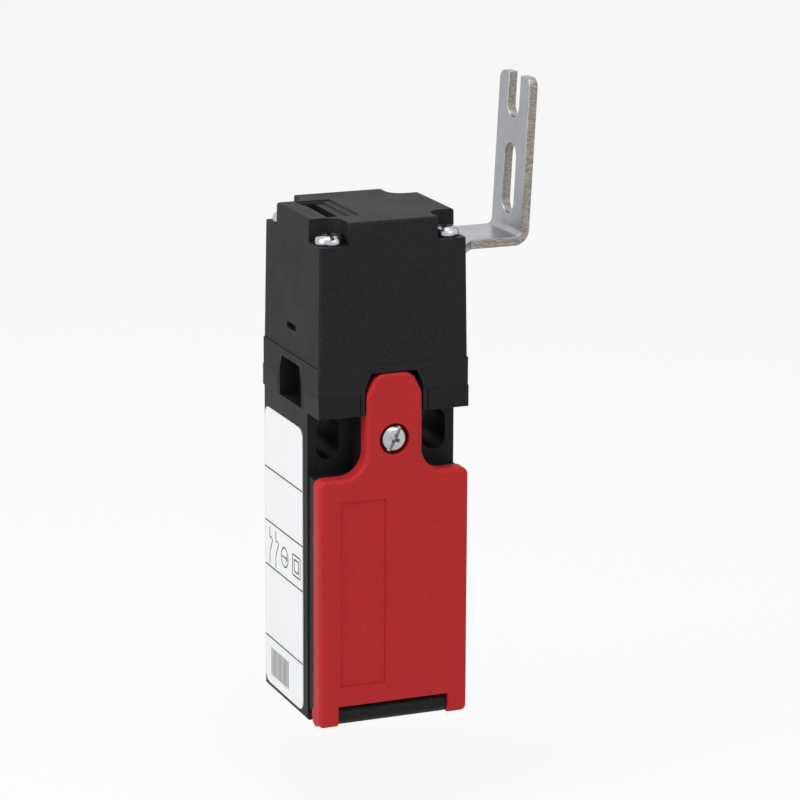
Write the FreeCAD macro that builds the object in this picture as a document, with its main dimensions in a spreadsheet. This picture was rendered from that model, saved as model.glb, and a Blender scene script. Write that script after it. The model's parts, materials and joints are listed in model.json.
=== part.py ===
import FreeCAD, Part
import math
import os
import Sketcher

# Tongue interlock switch: a moulded body with a hinged lid, a turnable head with a key cam,
# a bent steel key, and a two-pole contact block.  Millimetres, +Z up, real size.
# Origin: back mounting face, midway between the two fixing slots.
# X runs across the front, Y runs from the front (negative) to the back face (zero).

doc = FreeCAD.newDocument("tongue_interlock_switch")
sheet = doc.addObject("Spreadsheet::Sheet", "dims")

SIZES = [
    ("case_half", "15.5", "half width of head, flange and lid"),
    ("body_floor", "-56.75", "underside of the body"),
    ("deck_top", "5.75", "top of the body deck between the corner blocks"),
    ("head_top", "43.45", "top of the head"),
    ("shaft_half", "7.4", "half width of the shaft above the contact block"),
    ("deck_hole", "4.2", "radius of the deck hole for the plunger"),
    ("slot_x", "11", "fixing slot centre from the middle"),
    ("slot_wide", "4.8", "width of a fixing slot"),
    ("slot_tall", "8.2", "overall height of a fixing slot"),
    ("tab_half", "6.9", "half width of the head tongues between the blocks"),
    ("window_half", "6", "half width of the registering windows"),
    ("window_crown", "4.7", "half width of the windows at the top"),
    ("head_screw_core", "1.5", "radius of a head screw shank"),
    ("head_screw_cap", "2.75", "radius of a head screw cap"),
    ("head_screw_cap_high", "1.9", "height of a head screw cap"),
    ("axis_z", "26.8", "height of the cam axle"),
    ("key_arm", "8.75", "distance of both key paths from the axle"),
    ("key_thick", "1.8", "thickness of the key sheet"),
    ("key_half", "7.1", "half width of the key"),
    ("key_slot_gap", "0.2", "clearance of the key in its slots"),
    ("key_half_stroke", "5", "half the driving stroke of the key"),
    ("key_bar", "2.2", "length of the key end bar"),
    ("key_window_long", "10.6", "length of the key window"),
    ("key_ear_half", "10.4", "half width over the stop ears"),
    ("key_plate_x", "29.8", "inner face of the upright plate at its foot"),
    ("key_plate_top", "67.3", "top of the upright plate"),
    ("key_lean", "0.0507", "outward lean of the upright plate per millimetre of height"),
    ("key_bend", "1.3", "inner bend radius of the key"),
    ("key_slot_half", "2.65", "half width of both fixing slots of the key"),
    ("key_slot_low", "39.8", "lower end of the closed slot"),
    ("key_slot_high", "53.7", "upper end of the closed slot"),
    ("key_notch_low", "58.7", "lower end of the open slot"),
    ("cam_radius", "10", "outer radius of the cam wheel"),
    ("cam_half", "3.5", "half thickness of the cam wheel"),
    ("cam_floor", "7.5", "radius of the notch floors"),
    ("cam_notch_half", "1.6", "half width of the cam notches"),
    ("lobe_radius", "7.2", "radius of the eccentric lobe"),
    ("lobe_offset", "3", "eccentricity of the lobe"),
    ("hub_radius", "4.2", "radius of the cam hub"),
    ("hub_half", "7.3", "half length of the cam hub"),
    ("axle_radius", "1.5", "radius of the cam axle"),
    ("axle_half", "9.5", "half length of the cam axle"),
    ("axle_gap", "0.05", "running clearance of the cam on the axle"),
    ("post_gap", "0.05", "clearance of the guide in the head"),
    ("stem_radius", "2.4", "radius of the plunger stem"),
    ("stem_gap", "0.05", "clearance of the plunger stem in the guide"),
    ("cap_half_x", "3.8", "half width of the plunger cap"),
    ("cap_half_y", "3", "half length of the plunger cap"),
    ("cap_high", "2.4", "thickness of the plunger cap"),
    ("cam_gap", "0.1", "gap between the cam and the plunger cap"),
    ("lid_shoulder", "-6.4", "top of the lid shoulders"),
    ("neck_fillet", "4.8", "concave fillet below the neck"),
    ("lug_crown", "3.7", "half width of the lug at its top"),
    ("lid_gate", "-52.2", "lower edge of the lid between its legs"),
    ("barrel_radius", "2", "radius of the hinge barrel on the body"),
    ("hinge_eye", "1.95", "radius of the eyes at the lid legs"),
    ("hinge_pin", "1", "radius of the hinge pin"),
    ("hinge_gap", "0.05", "running clearance of the lid on the hinge pin"),
    ("lid_screw_z", "0.72", "height of the lid screw"),
    ("lid_screw_well", "3.1", "radius of the counterbore round the lid screw"),
    ("lid_screw_core", "1.25", "radius of the lid screw shank"),
    ("lid_insert_outer", "2.4", "radius of the brass insert in the pillar"),
    ("conduit_radius", "9.25", "core radius of the M20 conduit entry"),
    ("plate_thick", "0.15", "thickness of the side nameplate"),
    ("tower_half", "4.4", "half width of the spring tower below the block"),
    ("carrier_half", "3", "half width of the contact carrier"),
    ("carrier_gap", "0.15", "clearance of the carrier in its shaft"),
    ("carrier_top", "1.4", "top of the contact carrier"),
    ("carrier_foot", "-36", "bottom of the contact carrier"),
    ("spring_bore", "2.15", "radius of the spring bore in the carrier"),
    ("pole_pitch", "12", "distance between the two poles"),
    ("strip_thick", "0.8", "thickness of contact metal"),
    ("strip_in", "4", "inner end of the fixed contacts"),
    ("tab_in", "5", "inner edge of the terminal tabs"),
    ("tab_drop", "6.6", "height of the terminal tabs below the blade"),
    ("tip_x", "5.3", "place of the silver tips"),
    ("tip_radius", "1.2", "radius of the silver tips"),
    ("tip_thick", "0.7", "thickness of the silver tips"),
    ("bridge_half", "6.6", "half length of the moving bridges"),
    ("bridge_wide", "3", "width of the moving bridges"),
    ("bridge_spring", "3.6", "height of a bridge spring"),
    ("terminal_drop", "3.2", "terminal screws below the blade"),
    ("terminal_cap", "2.6", "radius of a terminal screw cap"),
    ("terminal_core", "1.4", "radius of a terminal screw shank"),
    ("head_edge", "0.6", "rounding of the head edges"),
    ("skirt_edge", "0.6", "rounding of the head skirt edges"),
    ("tray_deep", "0.3", "depth of each step of the tray round the top slot"),
    ("tray_step", "0.8", "width of each step of the tray round the top slot"),
    ("slit_deep", "1.6", "depth of the small slit in the left face"),
    ("slit_half", "2.35", "half length of the slit"),
    ("slit_low", "20.13", "lower edge of the slit"),
    ("slit_high", "21.35", "upper edge of the slit"),
    ("web_half", "1.6", "half height of the web behind the hinge barrel"),
    ("body_edge", "0.5", "rounding of the rear and bottom body edges"),
    ("rib_in", "8", "inner edge of the ribs behind the contact block"),
    ("rib_out", "11", "outer edge of the ribs behind the contact block"),
    ("block_screw_x", "9.5", "contact block screws from the middle"),
    ("block_screw_core", "1.1", "radius of a block screw shank"),
    ("shoulder_round", "1.5", "rounding of the lid shoulders"),
    ("lug_round", "3", "rounding of the lug corners"),
    ("lid_edge", "0.8", "rounding of the front edges of the lid"),
    ("leg_round", "1.2", "rounding of the lid legs at the foot"),
    ("panel_in", "1.78", "inner edge of the lid panel"),
    ("panel_deep", "0.3", "depth of the lid panel"),
    ("lid_hollow_deep", "1.4", "depth of the hollow behind the lid"),
    ("seal_wide", "1.2", "width of the lid gasket"),
    ("seal_deep", "0.9", "depth of the lid gasket groove"),
    ("seal_gap", "0.02", "gap between the lid gasket and the rim"),
    ("key_corner", "2", "rounding of the upper key corners"),
    ("key_tip_round", "1.2", "rounding of the key tip corners"),
    ("key_window_round", "0.6", "rounding inside the key window"),
    ("cap_round", "0.5", "rounding of the plunger cap"),
    ("cap_room", "0.3", "room round the plunger cap"),
    ("seal_high_head", "2", "height of the plunger seal"),
    ("stem_seal_outer", "4", "outer radius of the plunger seal"),
    ("plate_round", "2", "corner rounding of the nameplate"),
    ("chamber_half", "7.1", "half width of a contact chamber"),
    ("chamber_tall", "8.6", "height of a contact chamber"),
    ("cap_plate_half", "3.8", "half width of the contact cap"),
    ("cap_plate_thick", "1", "thickness of the contact cap"),
    ("cap_plate_edge", "0.3", "chamfer of the contact cap"),
    ("bridge_low", "2.2", "underside of a bridge below its fixed contact"),
    ("window_lift", "0.9", "top of the carrier windows below the fixed contact"),
    ("carrier_edge", "0.3", "chamfer of the carrier edges"),
    ("contact_gap", "0.02", "gap of the closed contact tips"),
    ("bridge_coil", "1.1", "mean radius of the bridge springs"),
    ("bridge_wire", "0.2", "wire radius of the bridge springs"),
    ("return_coil", "1.7", "mean radius of the return spring"),
    ("return_wire", "0.25", "wire radius of the return spring"),
    ("clamp_half", "2.8", "half side of a terminal clamp"),
    ("clamp_thick", "0.9", "thickness of a terminal clamp"),
    ("terminal_cap_high", "1.9", "height of a terminal screw cap"),
    ("flange_proud", "0.2", "overhang of the body flange over the body sides"),
    ("skirt_proud", "0.2", "step of the head sides above the skirt"),
    ("head_draft", "0.4", "taper of each head side over its height"),
    ("recess_sunk", "6.8", "depth of the wall beside the fixing slots behind the head front"),
    ("lid_sunk", "3", "lid rear face behind the head front"),
    ("lid_proud", "0.4", "lid front face before the head front"),
    ("block_high", "4.3", "height of the corner blocks"),
    ("skirt_high", "5.45", "height of the head skirt"),
    ("rim_step", "0.3", "step from the body side to the rim"),
    ("lid_lap", "0.6", "lid shoulders above the rim"),
    ("gate_step", "2", "rim below the lid edge between the legs"),
    ("leg_rise", "0.35", "lid legs above the underside"),
    ("hinge_rise", "2.3", "hinge axis above the underside"),
    ("hinge_sunk", "0.8", "hinge axis before the lid rear face"),
    ("side_wall", "2.2", "thickness of the body side walls"),
    ("rim_wall", "2.4", "wall above the wiring cavity"),
    ("floor_wall", "8.05", "thickness of the floor round the conduit entry"),
    ("back_wall", "2.6", "thickness of the rear wall"),
    ("neck_gap", "0.27", "clearance of the lid neck in the head window"),
    ("pillar_gap", "0.03", "pillar narrower than the neck"),
    ("shaft_reach", "4.7", "front of the shaft before the middle"),
    ("deck_thick", "2.2", "thickness of the deck"),
    ("tab_gap", "0.15", "clearance between head tongues and corner blocks"),
    ("cam_room", "0.3", "room beside the cam wheel"),
    ("cam_head_room", "0.5", "room above the cam wheel"),
    ("hub_room", "0.9", "room beyond the ends of the cam hub"),
    ("relief_gap", "0.1", "clearance of the guide between the corner blocks"),
    ("window_wall", "1", "wall between the cam chamber and the windows"),
    ("window_high", "8.2", "height of the windows above the deck"),
    ("window_slope", "3.05", "height of the sloping part of a window"),
    ("pocket_deep", "4.46", "depth of the corner screw pockets"),
    ("pocket_gap", "0.3", "clearance round a head screw cap in its pocket"),
    ("screw_edge_x", "3.4", "head screw from the head side"),
    ("screw_edge_y", "3.7", "head screw from the head front"),
    ("screw_gap", "0.2", "clearance of the head screw holes"),
    ("insert_wall", "0.7", "wall of the brass inserts"),
    ("insert_long", "3.85", "length of the brass inserts"),
    ("screw_short", "0.4", "screw tips short of the insert ends"),
    ("ear_gap", "0.1", "gap of the stop ears to the head"),
    ("ear_straight", "1.1", "straight part of the stop ears"),
    ("ear_long", "3.8", "length of the stop ears with their slopes"),
    ("cam_side_room", "1", "room between cam wheel and key window"),
    ("gasket_thick", "0.8", "thickness of the head gasket"),
    ("guide_high", "10.65", "height of the plunger guide"),
    ("well_deep", "2", "depth of the well for the plunger cap"),
    ("lug_gap", "0.2", "clearance above the lid lug"),
    ("lug_slope", "4.15", "height of the sloping part of the lug"),
    ("barrel_inset", "4.2", "hinge barrel end from the case side"),
    ("leg_gap", "0.25", "clearance between barrel and lid legs"),
    ("eye_gap", "0.25", "clearance round the hinge eyes"),
    ("pin_inset", "1.1", "hinge pin end from the case side"),
    ("well_gap", "0.4", "clearance round the lid screw cap"),
    ("seat_deep", "1.8", "lid screw seat behind the lid front"),
    ("seal_thick", "0.7", "thickness of the seal below the lid screw cap"),
    ("lid_screw_gap", "0.3", "clearance of the lid screw in its insert"),
    ("lid_screw_long", "5.4", "length of the lid screw shank"),
    ("lid_insert_long", "6.2", "length of the insert for the lid screw"),
    ("conduit_shift", "2.9", "conduit entry behind the middle"),
    ("plate_inset", "2.3", "nameplate from the front wall beside the slots"),
    ("plate_rear", "0.9", "nameplate from the back face"),
    ("plate_rise", "1.1", "nameplate above the underside"),
    ("plate_high", "57.35", "height of the nameplate"),
    ("base_gap", "0.3", "clearance of the contact block in the cavity"),
    ("base_reach", "4.5", "contact block front before the middle"),
    ("rib_deep", "3.4", "depth of the ribs behind the contact block"),
    ("base_top_gap", "0.2", "clearance above the contact block"),
    ("base_high", "29", "height of the contact block"),
    ("tower_high", "2.4", "height of the spring tower"),
    ("flange_thick", "3", "thickness of the block fixing flange"),
    ("flange_high", "4.4", "height of the block fixing flange"),
    ("carrier_lift", "0.1", "gap between plunger stem and carrier"),
    ("spring_sunk", "0.7", "spring floor below the block"),
    ("spring_bore_deep", "4.5", "depth of the spring bore in the carrier"),
    ("pole_drop", "2.6", "upper fixed contacts below the block top"),
    ("strip_inset", "1.4", "outer end of the contacts from the block side"),
    ("tray_wide_out", "2.65", "tray beyond the key path, outwards"),
    ("tray_wide_in", "4.45", "tray beyond the key path, inwards"),
    ("tray_margin", "1.1", "tray beyond the key edges"),
    ("block_screw_rise", "2.2", "block screws above the flange foot"),
    ("block_screw_short", "0.8", "block screw tips before the cavity back"),
    ("block_screw_cap", "2.2", "radius of a block screw cap"),
    ("block_screw_high", "1.6", "height of a block screw cap"),
    ("seal_margin", "0.4", "lid gasket from the rim side"),
    ("seal_rise", "1.6", "lid gasket above the lid edge between the legs"),
    ("seal_fall", "1.2", "lid gasket below the lid shoulders"),
    ("hollow_margin", "1", "lid hollow inside the gasket"),
    ("hollow_rise", "2.4", "lid hollow above the gasket foot"),
    ("hollow_fall", "2.3", "lid hollow below the gasket top"),
    ("panel_rise", "3.95", "lid panel above the edge between the legs"),
    ("panel_fall", "4.45", "lid panel below the shoulders"),
    ("panel_side", "4.3", "lid panel from the lid side"),
    ("post_room", "0.15", "gap between the cam hub and the axle posts"),
    ("chamber_wall", "2", "front wall of the contact chambers"),
    ("blade_reach", "2.9", "contact blades behind the middle"),
    ("terminal_long", "3.4", "terminal screw tips behind the block front"),
    ("terminal_gap", "0.1", "clearance of the terminal screws"),
]


class Size:
    """A length that keeps its formula for the sheet beside its value."""

    def __init__(self, text, value):
        self.text = text
        self.value = value

    def __add__(self, other):
        other = size(other)
        return Size("(%s + %s)" % (self.text, other.text), self.value + other.value)

    def __sub__(self, other):
        other = size(other)
        return Size("(%s - %s)" % (self.text, other.text), self.value - other.value)

    def __mul__(self, other):
        other = size(other)
        return Size("(%s * %s)" % (self.text, other.text), self.value * other.value)

    def __neg__(self):
        return Size("(0 - %s)" % self.text, -self.value)


def size(item):
    if isinstance(item, Size):
        return item
    if item < 0:
        return Size("(0 - %.6f)" % -item, float(item))
    return Size("%.6f" % item, float(item))


class Names:
    """Holds every named size as an attribute."""


d = Names()
for row, (alias, number, note) in enumerate(SIZES, start=1):
    sheet.set("A%d" % row, note)
    sheet.set("B%d" % row, number)
    sheet.setAlias("B%d" % row, alias)
    setattr(d, alias, Size("dims." + alias, float(number)))
doc.recompute()

# Sizes that follow from others by a named wall, step or clearance
d.case_depth = d.case_half * 2
d.body_half = d.case_half - d.flange_proud
d.head_foot_half = d.case_half - d.skirt_proud
d.head_top_half = d.head_foot_half - d.head_draft
d.head_mid = -d.case_half
d.recess_face = -d.case_depth + d.recess_sunk
d.lid_back = -d.case_depth + d.lid_sunk
d.lid_front = -d.case_depth - d.lid_proud
d.parting = d.deck_top + d.block_high
d.head_step = d.parting + d.skirt_high
d.rim_half = d.body_half - d.rim_step
d.rim_top = d.lid_shoulder - d.lid_lap
d.rim_foot = d.lid_gate - d.gate_step
d.leg_foot = d.body_floor + d.leg_rise
d.hinge_z = d.body_floor + d.hinge_rise
d.hinge_y = d.lid_back - d.hinge_sunk
d.cavity_half = d.body_half - d.side_wall
d.cavity_top = d.rim_top - d.rim_wall
d.cavity_floor = d.body_floor + d.floor_wall
d.cavity_back = -d.back_wall
d.neck_half = d.window_half - d.neck_gap
d.pillar_half = d.neck_half - d.pillar_gap
d.shaft_front = d.head_mid - d.shaft_reach
d.deck_under = d.deck_top - d.deck_thick
d.block_in = d.tab_half + d.tab_gap
d.hollow_half = d.cam_radius + d.cam_room
d.hollow_top = d.axis_z + d.cam_radius + d.cam_head_room
d.hollow_y = d.hub_half + d.hub_room
d.relief_x = d.hollow_half + d.relief_gap
d.relief_y = d.hollow_y + d.relief_gap
d.window_in = d.hollow_half + d.window_wall
d.window_top = d.deck_top + d.window_high
d.window_knee = d.window_top - d.window_slope
d.pocket_floor = d.head_top - d.pocket_deep
d.head_screw_x = d.case_half - d.screw_edge_x
d.head_screw_y = d.case_half - d.screw_edge_y
d.head_screw_hole = d.head_screw_core + d.screw_gap
d.insert_outer = d.head_screw_core + d.insert_wall
d.insert_foot = d.parting - d.insert_long
d.head_screw_tip = d.insert_foot + d.screw_short
d.pocket_in_x = d.head_screw_x - d.head_screw_cap - d.pocket_gap
d.pocket_in_y = d.head_screw_y - d.head_screw_cap - d.pocket_gap
d.pocket_round = d.head_screw_cap + d.pocket_gap
d.key_ear_x = d.case_half + d.ear_gap
d.key_ear_out = d.key_ear_x + d.ear_straight
d.key_ear_end = d.key_ear_x + d.ear_long
d.key_window_half = d.cam_half + d.cam_side_room
d.gasket_top = d.deck_top + d.gasket_thick
d.lug_top = d.window_top - d.lug_gap
d.lug_knee = d.lug_top - d.lug_slope
d.barrel_half = d.case_half - d.barrel_inset
d.leg_in = d.barrel_half + d.leg_gap
d.hinge_relief = d.hinge_eye + d.eye_gap
d.hinge_pin_half = d.case_half - d.pin_inset
d.lid_screw_cap = d.lid_screw_well - d.well_gap
d.lid_screw_seat = d.lid_front + d.seat_deep
d.lid_well_floor = d.lid_screw_seat + d.seal_thick
d.lid_screw_bore = d.lid_screw_core + d.lid_screw_gap
d.lid_screw_tip = d.lid_screw_seat + d.lid_screw_long
d.lid_insert_end = d.lid_back + d.lid_insert_long
d.conduit_y = d.head_mid + d.conduit_shift
d.plate_front = d.recess_face + d.plate_inset
d.plate_back = -d.plate_rear
d.plate_foot = d.body_floor + d.plate_rise
d.plate_top = d.plate_foot + d.plate_high
d.base_half = d.cavity_half - d.base_gap
d.base_front = d.head_mid - d.base_reach
d.base_back = d.cavity_back - d.rib_deep
d.base_top = d.cavity_top - d.base_top_gap
d.base_foot = d.base_top - d.base_high
d.tower_foot = d.base_foot - d.tower_high
d.flange_front = d.base_back - d.flange_thick
d.flange_foot = d.base_foot - d.flange_high
d.carrier_front = d.head_mid - d.carrier_half
d.carrier_back = d.head_mid + d.carrier_half
d.stem_foot = d.carrier_top + d.carrier_lift
d.spring_floor = d.base_foot - d.spring_sunk
d.spring_seat = d.carrier_foot + d.spring_bore_deep
d.pole_top = d.base_top - d.pole_drop
d.strip_out = d.base_half - d.strip_inset
d.tray_out = d.key_arm + d.tray_wide_out
d.tray_in = d.key_arm - d.tray_wide_in
d.tray_long = d.key_half + d.tray_margin
d.block_screw_z = d.flange_foot + d.block_screw_rise
d.block_screw_tip = d.cavity_back - d.block_screw_short
d.seal_out = d.rim_half - d.seal_margin
d.seal_in = d.seal_out - d.seal_wide
d.seal_low = d.lid_gate + d.seal_rise
d.seal_high = d.lid_shoulder - d.seal_fall
d.lid_hollow = d.seal_in - d.hollow_margin
d.lid_hollow_low = d.seal_low + d.hollow_rise
d.lid_hollow_high = d.seal_high - d.hollow_fall
d.panel_low = d.lid_gate + d.panel_rise
d.panel_high = d.lid_shoulder - d.panel_fall
d.panel_out = d.case_half - d.panel_side
d.post_in = d.hub_half + d.post_room
d.chamber_front = d.base_front + d.chamber_wall
d.blade_back = d.head_mid + d.blade_reach
d.terminal_tip = d.base_front + d.terminal_long
d.terminal_hole = d.terminal_core + d.terminal_gap
d.guide_top = d.gasket_top + d.guide_high
d.cap_well = d.guide_top - d.well_deep
swing_arm = "hypot(dims.key_half_stroke; dims.key_arm)"
d.terminal_x = d.strip_out - d.clamp_half
d.lobe_drop = Size(
    "(dims.lobe_offset * dims.key_half_stroke / %s)" % swing_arm,
    d.lobe_offset.value * d.key_half_stroke.value
    / math.hypot(d.key_half_stroke.value, d.key_arm.value))

PIECES = []


def bind(item, prop, value):
    item.setExpression(prop, size(value).text)


def piece(item, label):
    item.Label = label
    PIECES.append(item)
    return item


# Part primitives and booleans

def box(name, x0, x1, y0, y1, z0, z1):
    item = doc.addObject("Part::Box", name)
    for prop, low, high, axis in (("Length", x0, x1, "x"), ("Width", y0, y1, "y"),
                                  ("Height", z0, z1, "z")):
        bind(item, prop, size(high) - low)
        bind(item, "Placement.Base." + axis, low)
    return item


TURNS = {
    "X": FreeCAD.Rotation(FreeCAD.Vector(0, 1, 0), 90),
    "Y": FreeCAD.Rotation(FreeCAD.Vector(1, 0, 0), -90),
    "Z": FreeCAD.Rotation(),
}
AXES = {"X": ("y", "z", "x"), "Y": ("x", "z", "y"), "Z": ("x", "y", "z")}


def rod(name, axis, first, second, start, end, radius):
    item = doc.addObject("Part::Cylinder", name)
    item.Placement = FreeCAD.Placement(FreeCAD.Vector(0, 0, 0), TURNS[axis])
    names = AXES[axis]
    bind(item, "Placement.Base." + names[0], first)
    bind(item, "Placement.Base." + names[1], second)
    bind(item, "Placement.Base." + names[2], start)
    bind(item, "Radius", radius)
    bind(item, "Height", size(end) - start)
    return item


def fuse(name, *items):
    if len(items) == 1:
        return items[0]
    item = doc.addObject("Part::MultiFuse", name)
    item.Shapes = list(items)
    item.Refine = True
    return item


def cut(name, base, *tools):
    item = doc.addObject("Part::Cut", name)
    item.Base = base
    item.Tool = fuse(name + "_tools", *tools)
    item.Refine = True
    return item


def group(name, *items):
    item = doc.addObject("Part::Compound", name)
    item.Links = list(items)
    return item


# PartDesign bodies

def body(label):
    item = doc.addObject("PartDesign::Body", label)
    item.Label = label
    PIECES.append(item)
    return item


PLANES = {"Z": "XY_Plane", "Y": "XZ_Plane", "X": "YZ_Plane"}


def blank(owner, axis, level):
    sketch = owner.newObject("Sketcher::SketchObject", owner.Name + "_sketch")
    plane = [f for f in owner.Origin.OriginFeatures if f.Role == PLANES[axis]][0]
    sketch.AttachmentSupport = [(plane, "")]
    sketch.MapMode = "FlatFace"
    level = -size(level) if axis == "Y" else size(level)
    bind(sketch, "AttachmentOffset.Base.z", level)
    return sketch


def pin_point(sketch, line, end, across, up):
    for word, value, line_axis in (("DistanceX", across, -2), ("DistanceY", up, -1)):
        if abs(value.value) < 1e-9:
            sketch.addConstraint(Sketcher.Constraint("PointOnObject", line, end, line_axis))
            continue
        number = sketch.addConstraint(
            Sketcher.Constraint(word, -1, 1, line, end, value.value))
        sketch.setExpression("Constraints[%d]" % number, value.text)


def outline(owner, axis, level, points):
    sketch = blank(owner, axis, level)
    points = [(size(a), size(b)) for a, b in points]
    count = len(points)
    for i in range(count):
        here = points[i]
        there = points[(i + 1) % count]
        sketch.addGeometry(Part.LineSegment(
            FreeCAD.Vector(here[0].value, here[1].value, 0),
            FreeCAD.Vector(there[0].value, there[1].value, 0)), False)
    for i in range(count):
        sketch.addConstraint(Sketcher.Constraint("Coincident", i, 2, (i + 1) % count, 1))
    for i in range(count):
        pin_point(sketch, i, 1, points[i][0], points[i][1])
    return sketch


def disc(owner, axis, level, places, radius):
    sketch = blank(owner, axis, level)
    radius = size(radius)
    for across, up in places:
        across = size(across)
        up = size(up)
        number = sketch.addGeometry(Part.Circle(
            FreeCAD.Vector(across.value, up.value, 0), FreeCAD.Vector(0, 0, 1),
            radius.value), False)
        pin_point(sketch, number, 3, across, up)
        ring = sketch.addConstraint(Sketcher.Constraint("Radius", number, radius.value))
        sketch.setExpression("Constraints[%d]" % ring, radius.text)
    return sketch


def extrude(owner, kind, sketch, length, backwards=False):
    item = owner.newObject("PartDesign::" + kind, owner.Name + "_" + kind.lower())
    item.Profile = sketch
    bind(item, "Length", length)
    item.Reversed = backwards
    item.Refine = True
    sketch.Visibility = False
    return item


def rect(a0, a1, b0, b1):
    return [(a0, b0), (a1, b0), (a1, b1), (a0, b1)]


def span(owner, kind, axis, low, high, points=None, places=None, radius=None):
    """Pad or pocket a profile between two levels of one axis."""
    low = size(low)
    high = size(high)
    # a pad grows along the plane normal, a pocket against it; the XZ plane faces -Y
    grows_up = (kind == "Pad") != (axis == "Y")
    level = low if grows_up else high
    if points is not None:
        sketch = outline(owner, axis, level, points)
    else:
        sketch = disc(owner, axis, level, places, radius)
    return extrude(owner, kind, sketch, high - low)


def add_box(owner, x0, x1, y0, y1, z0, z1):
    return span(owner, "Pad", "Z", z0, z1, rect(x0, x1, y0, y1))


def cut_box(owner, x0, x1, y0, y1, z0, z1):
    return span(owner, "Pocket", "Z", z0, z1, rect(x0, x1, y0, y1))


def cut_hole(owner, axis, low, high, places, radius):
    return span(owner, "Pocket", axis, low, high, places=places, radius=radius)


def add_disc(owner, axis, low, high, places, radius):
    return span(owner, "Pad", axis, low, high, places=places, radius=radius)


def pick(shape, test):
    """Edge names whose middle point and direction pass a test."""
    names = []
    for number, edge in enumerate(shape.Edges, start=1):
        middle = edge.valueAt((edge.FirstParameter + edge.LastParameter) / 2.0)
        ends = edge.valueAt(edge.LastParameter) - edge.valueAt(edge.FirstParameter)
        if ends.Length > 1e-6:
            ends.normalize()
        if test(middle, ends, edge):
            names.append("Edge%d" % number)
    return names


def soften(owner, radius, test, kind="Fillet"):
    doc.recompute()
    last = owner.Tip
    names = pick(last.Shape, test)
    item = owner.newObject("PartDesign::" + kind, owner.Name + "_" + kind.lower())
    item.Base = (last, names)
    if kind == "Fillet":
        bind(item, "Radius", radius)
    else:
        bind(item, "Size", radius)
    owner.Tip = item
    doc.recompute()
    return item


def near(a, b, slack=0.02):
    return abs(a - b) < slack


def upright(direction):
    return abs(direction.z) > 0.99


mid = d.head_mid
front = -d.case_depth
whole = d.case_half


# Head: a tapered moulded shell, open below, with the cam chamber and two key slots

head = body("head_housing")
add_box(head, -whole, whole, front, 0, d.parting, d.head_step)
soften(head, d.skirt_edge, lambda p, v, e: upright(v))
foot = outline(head, "Z", d.head_step, rect(
    -d.head_foot_half, d.head_foot_half, mid - d.head_foot_half, mid + d.head_foot_half))
crown = outline(head, "Z", d.head_top, rect(
    -d.head_top_half, d.head_top_half, mid - d.head_top_half, mid + d.head_top_half))
loft = head.newObject("PartDesign::AdditiveLoft", "head_taper")
loft.Profile = foot
loft.Sections = [crown]
loft.Ruled = True
foot.Visibility = False
crown.Visibility = False
head.Tip = loft
doc.recompute()
soften(head, d.head_edge, lambda p, v, e: p.z > d.head_step.value + 1)
for across in (-1, 1):
    for along in (-1, 1):
        xs = sorted((d.pocket_in_x * across, (whole + 1) * across), key=lambda s: s.value)
        ys = sorted((mid + d.pocket_in_y * along, mid + (whole + 1) * along),
                    key=lambda s: s.value)
        cut_box(head, xs[0], xs[1], ys[0], ys[1], d.pocket_floor, d.head_top + 1)
soften(head, d.pocket_round, lambda p, v, e: upright(v) and p.z > d.pocket_floor.value
       and near(abs(p.x), d.pocket_in_x.value)
       and near(abs(p.y - mid.value), d.pocket_in_y.value))
add_box(head, -d.tab_half, d.tab_half, front, 0, d.deck_top, d.parting)
add_box(head, -whole, whole, mid - d.tab_half, mid + d.tab_half, d.deck_top, d.parting)
window = [(-d.window_half, d.deck_top - 1), (d.window_half, d.deck_top - 1),
          (d.window_half, d.window_knee), (d.window_crown, d.window_top),
          (-d.window_crown, d.window_top), (-d.window_half, d.window_knee)]
side_window = [(mid + a, b) for a, b in window]
span(head, "Pocket", "Y", front - 1, mid - d.window_in, window)
span(head, "Pocket", "Y", mid + d.window_in, 1, window)
span(head, "Pocket", "X", -whole - 1, -d.window_in, side_window)
span(head, "Pocket", "X", d.window_in, whole + 1, side_window)
cut_box(head, -d.hollow_half, d.hollow_half, mid - d.hollow_y, mid + d.hollow_y,
        d.deck_top - 1, d.hollow_top)
slot_half = d.key_thick * 0.5 + d.key_slot_gap
slot_long = d.key_half + d.key_slot_gap
key_level = d.axis_z + d.key_arm
cut_box(head, d.hollow_half - 1, whole + 1, mid - slot_long, mid + slot_long,
        key_level - slot_half, key_level + slot_half)
cut_box(head, -d.key_arm - slot_half, -d.key_arm + slot_half,
        mid - slot_long, mid + slot_long, d.hollow_top - 1, d.head_top + 1)
cut_box(head, -d.tray_out, -d.tray_in, mid - d.tray_long, mid + d.tray_long,
        d.head_top - d.tray_deep, d.head_top + 1)
cut_box(head, -d.tray_out + d.tray_step, -d.tray_in - d.tray_step - d.tray_step,
        mid - d.tray_long + d.tray_step, mid + d.tray_long - d.tray_step,
        d.head_top - d.tray_deep - d.tray_deep, d.head_top)
cut_box(head, -whole - 1, -whole + d.slit_deep, mid - d.slit_half, mid + d.slit_half,
        d.slit_low, d.slit_high)
screw_places = [(d.head_screw_x * across, mid + d.head_screw_y * along)
                for across in (-1, 1) for along in (-1, 1)]
cut_hole(head, "Z", d.parting - 1, d.pocket_floor + 1, screw_places, d.head_screw_hole)
cut_box(head, -d.axle_radius - d.post_gap, d.axle_radius + d.post_gap,
        mid - d.axle_half - d.post_gap, mid + d.axle_half + d.post_gap,
        d.deck_top - 1, d.axis_z)
cut_hole(head, "Y", mid - d.axle_half - d.post_gap, mid + d.axle_half + d.post_gap,
         [(0, d.axis_z)], d.axle_radius + d.post_gap)


# Body: a box open to the front, with rim, pillar, hinge barrel and fixing slots

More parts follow.
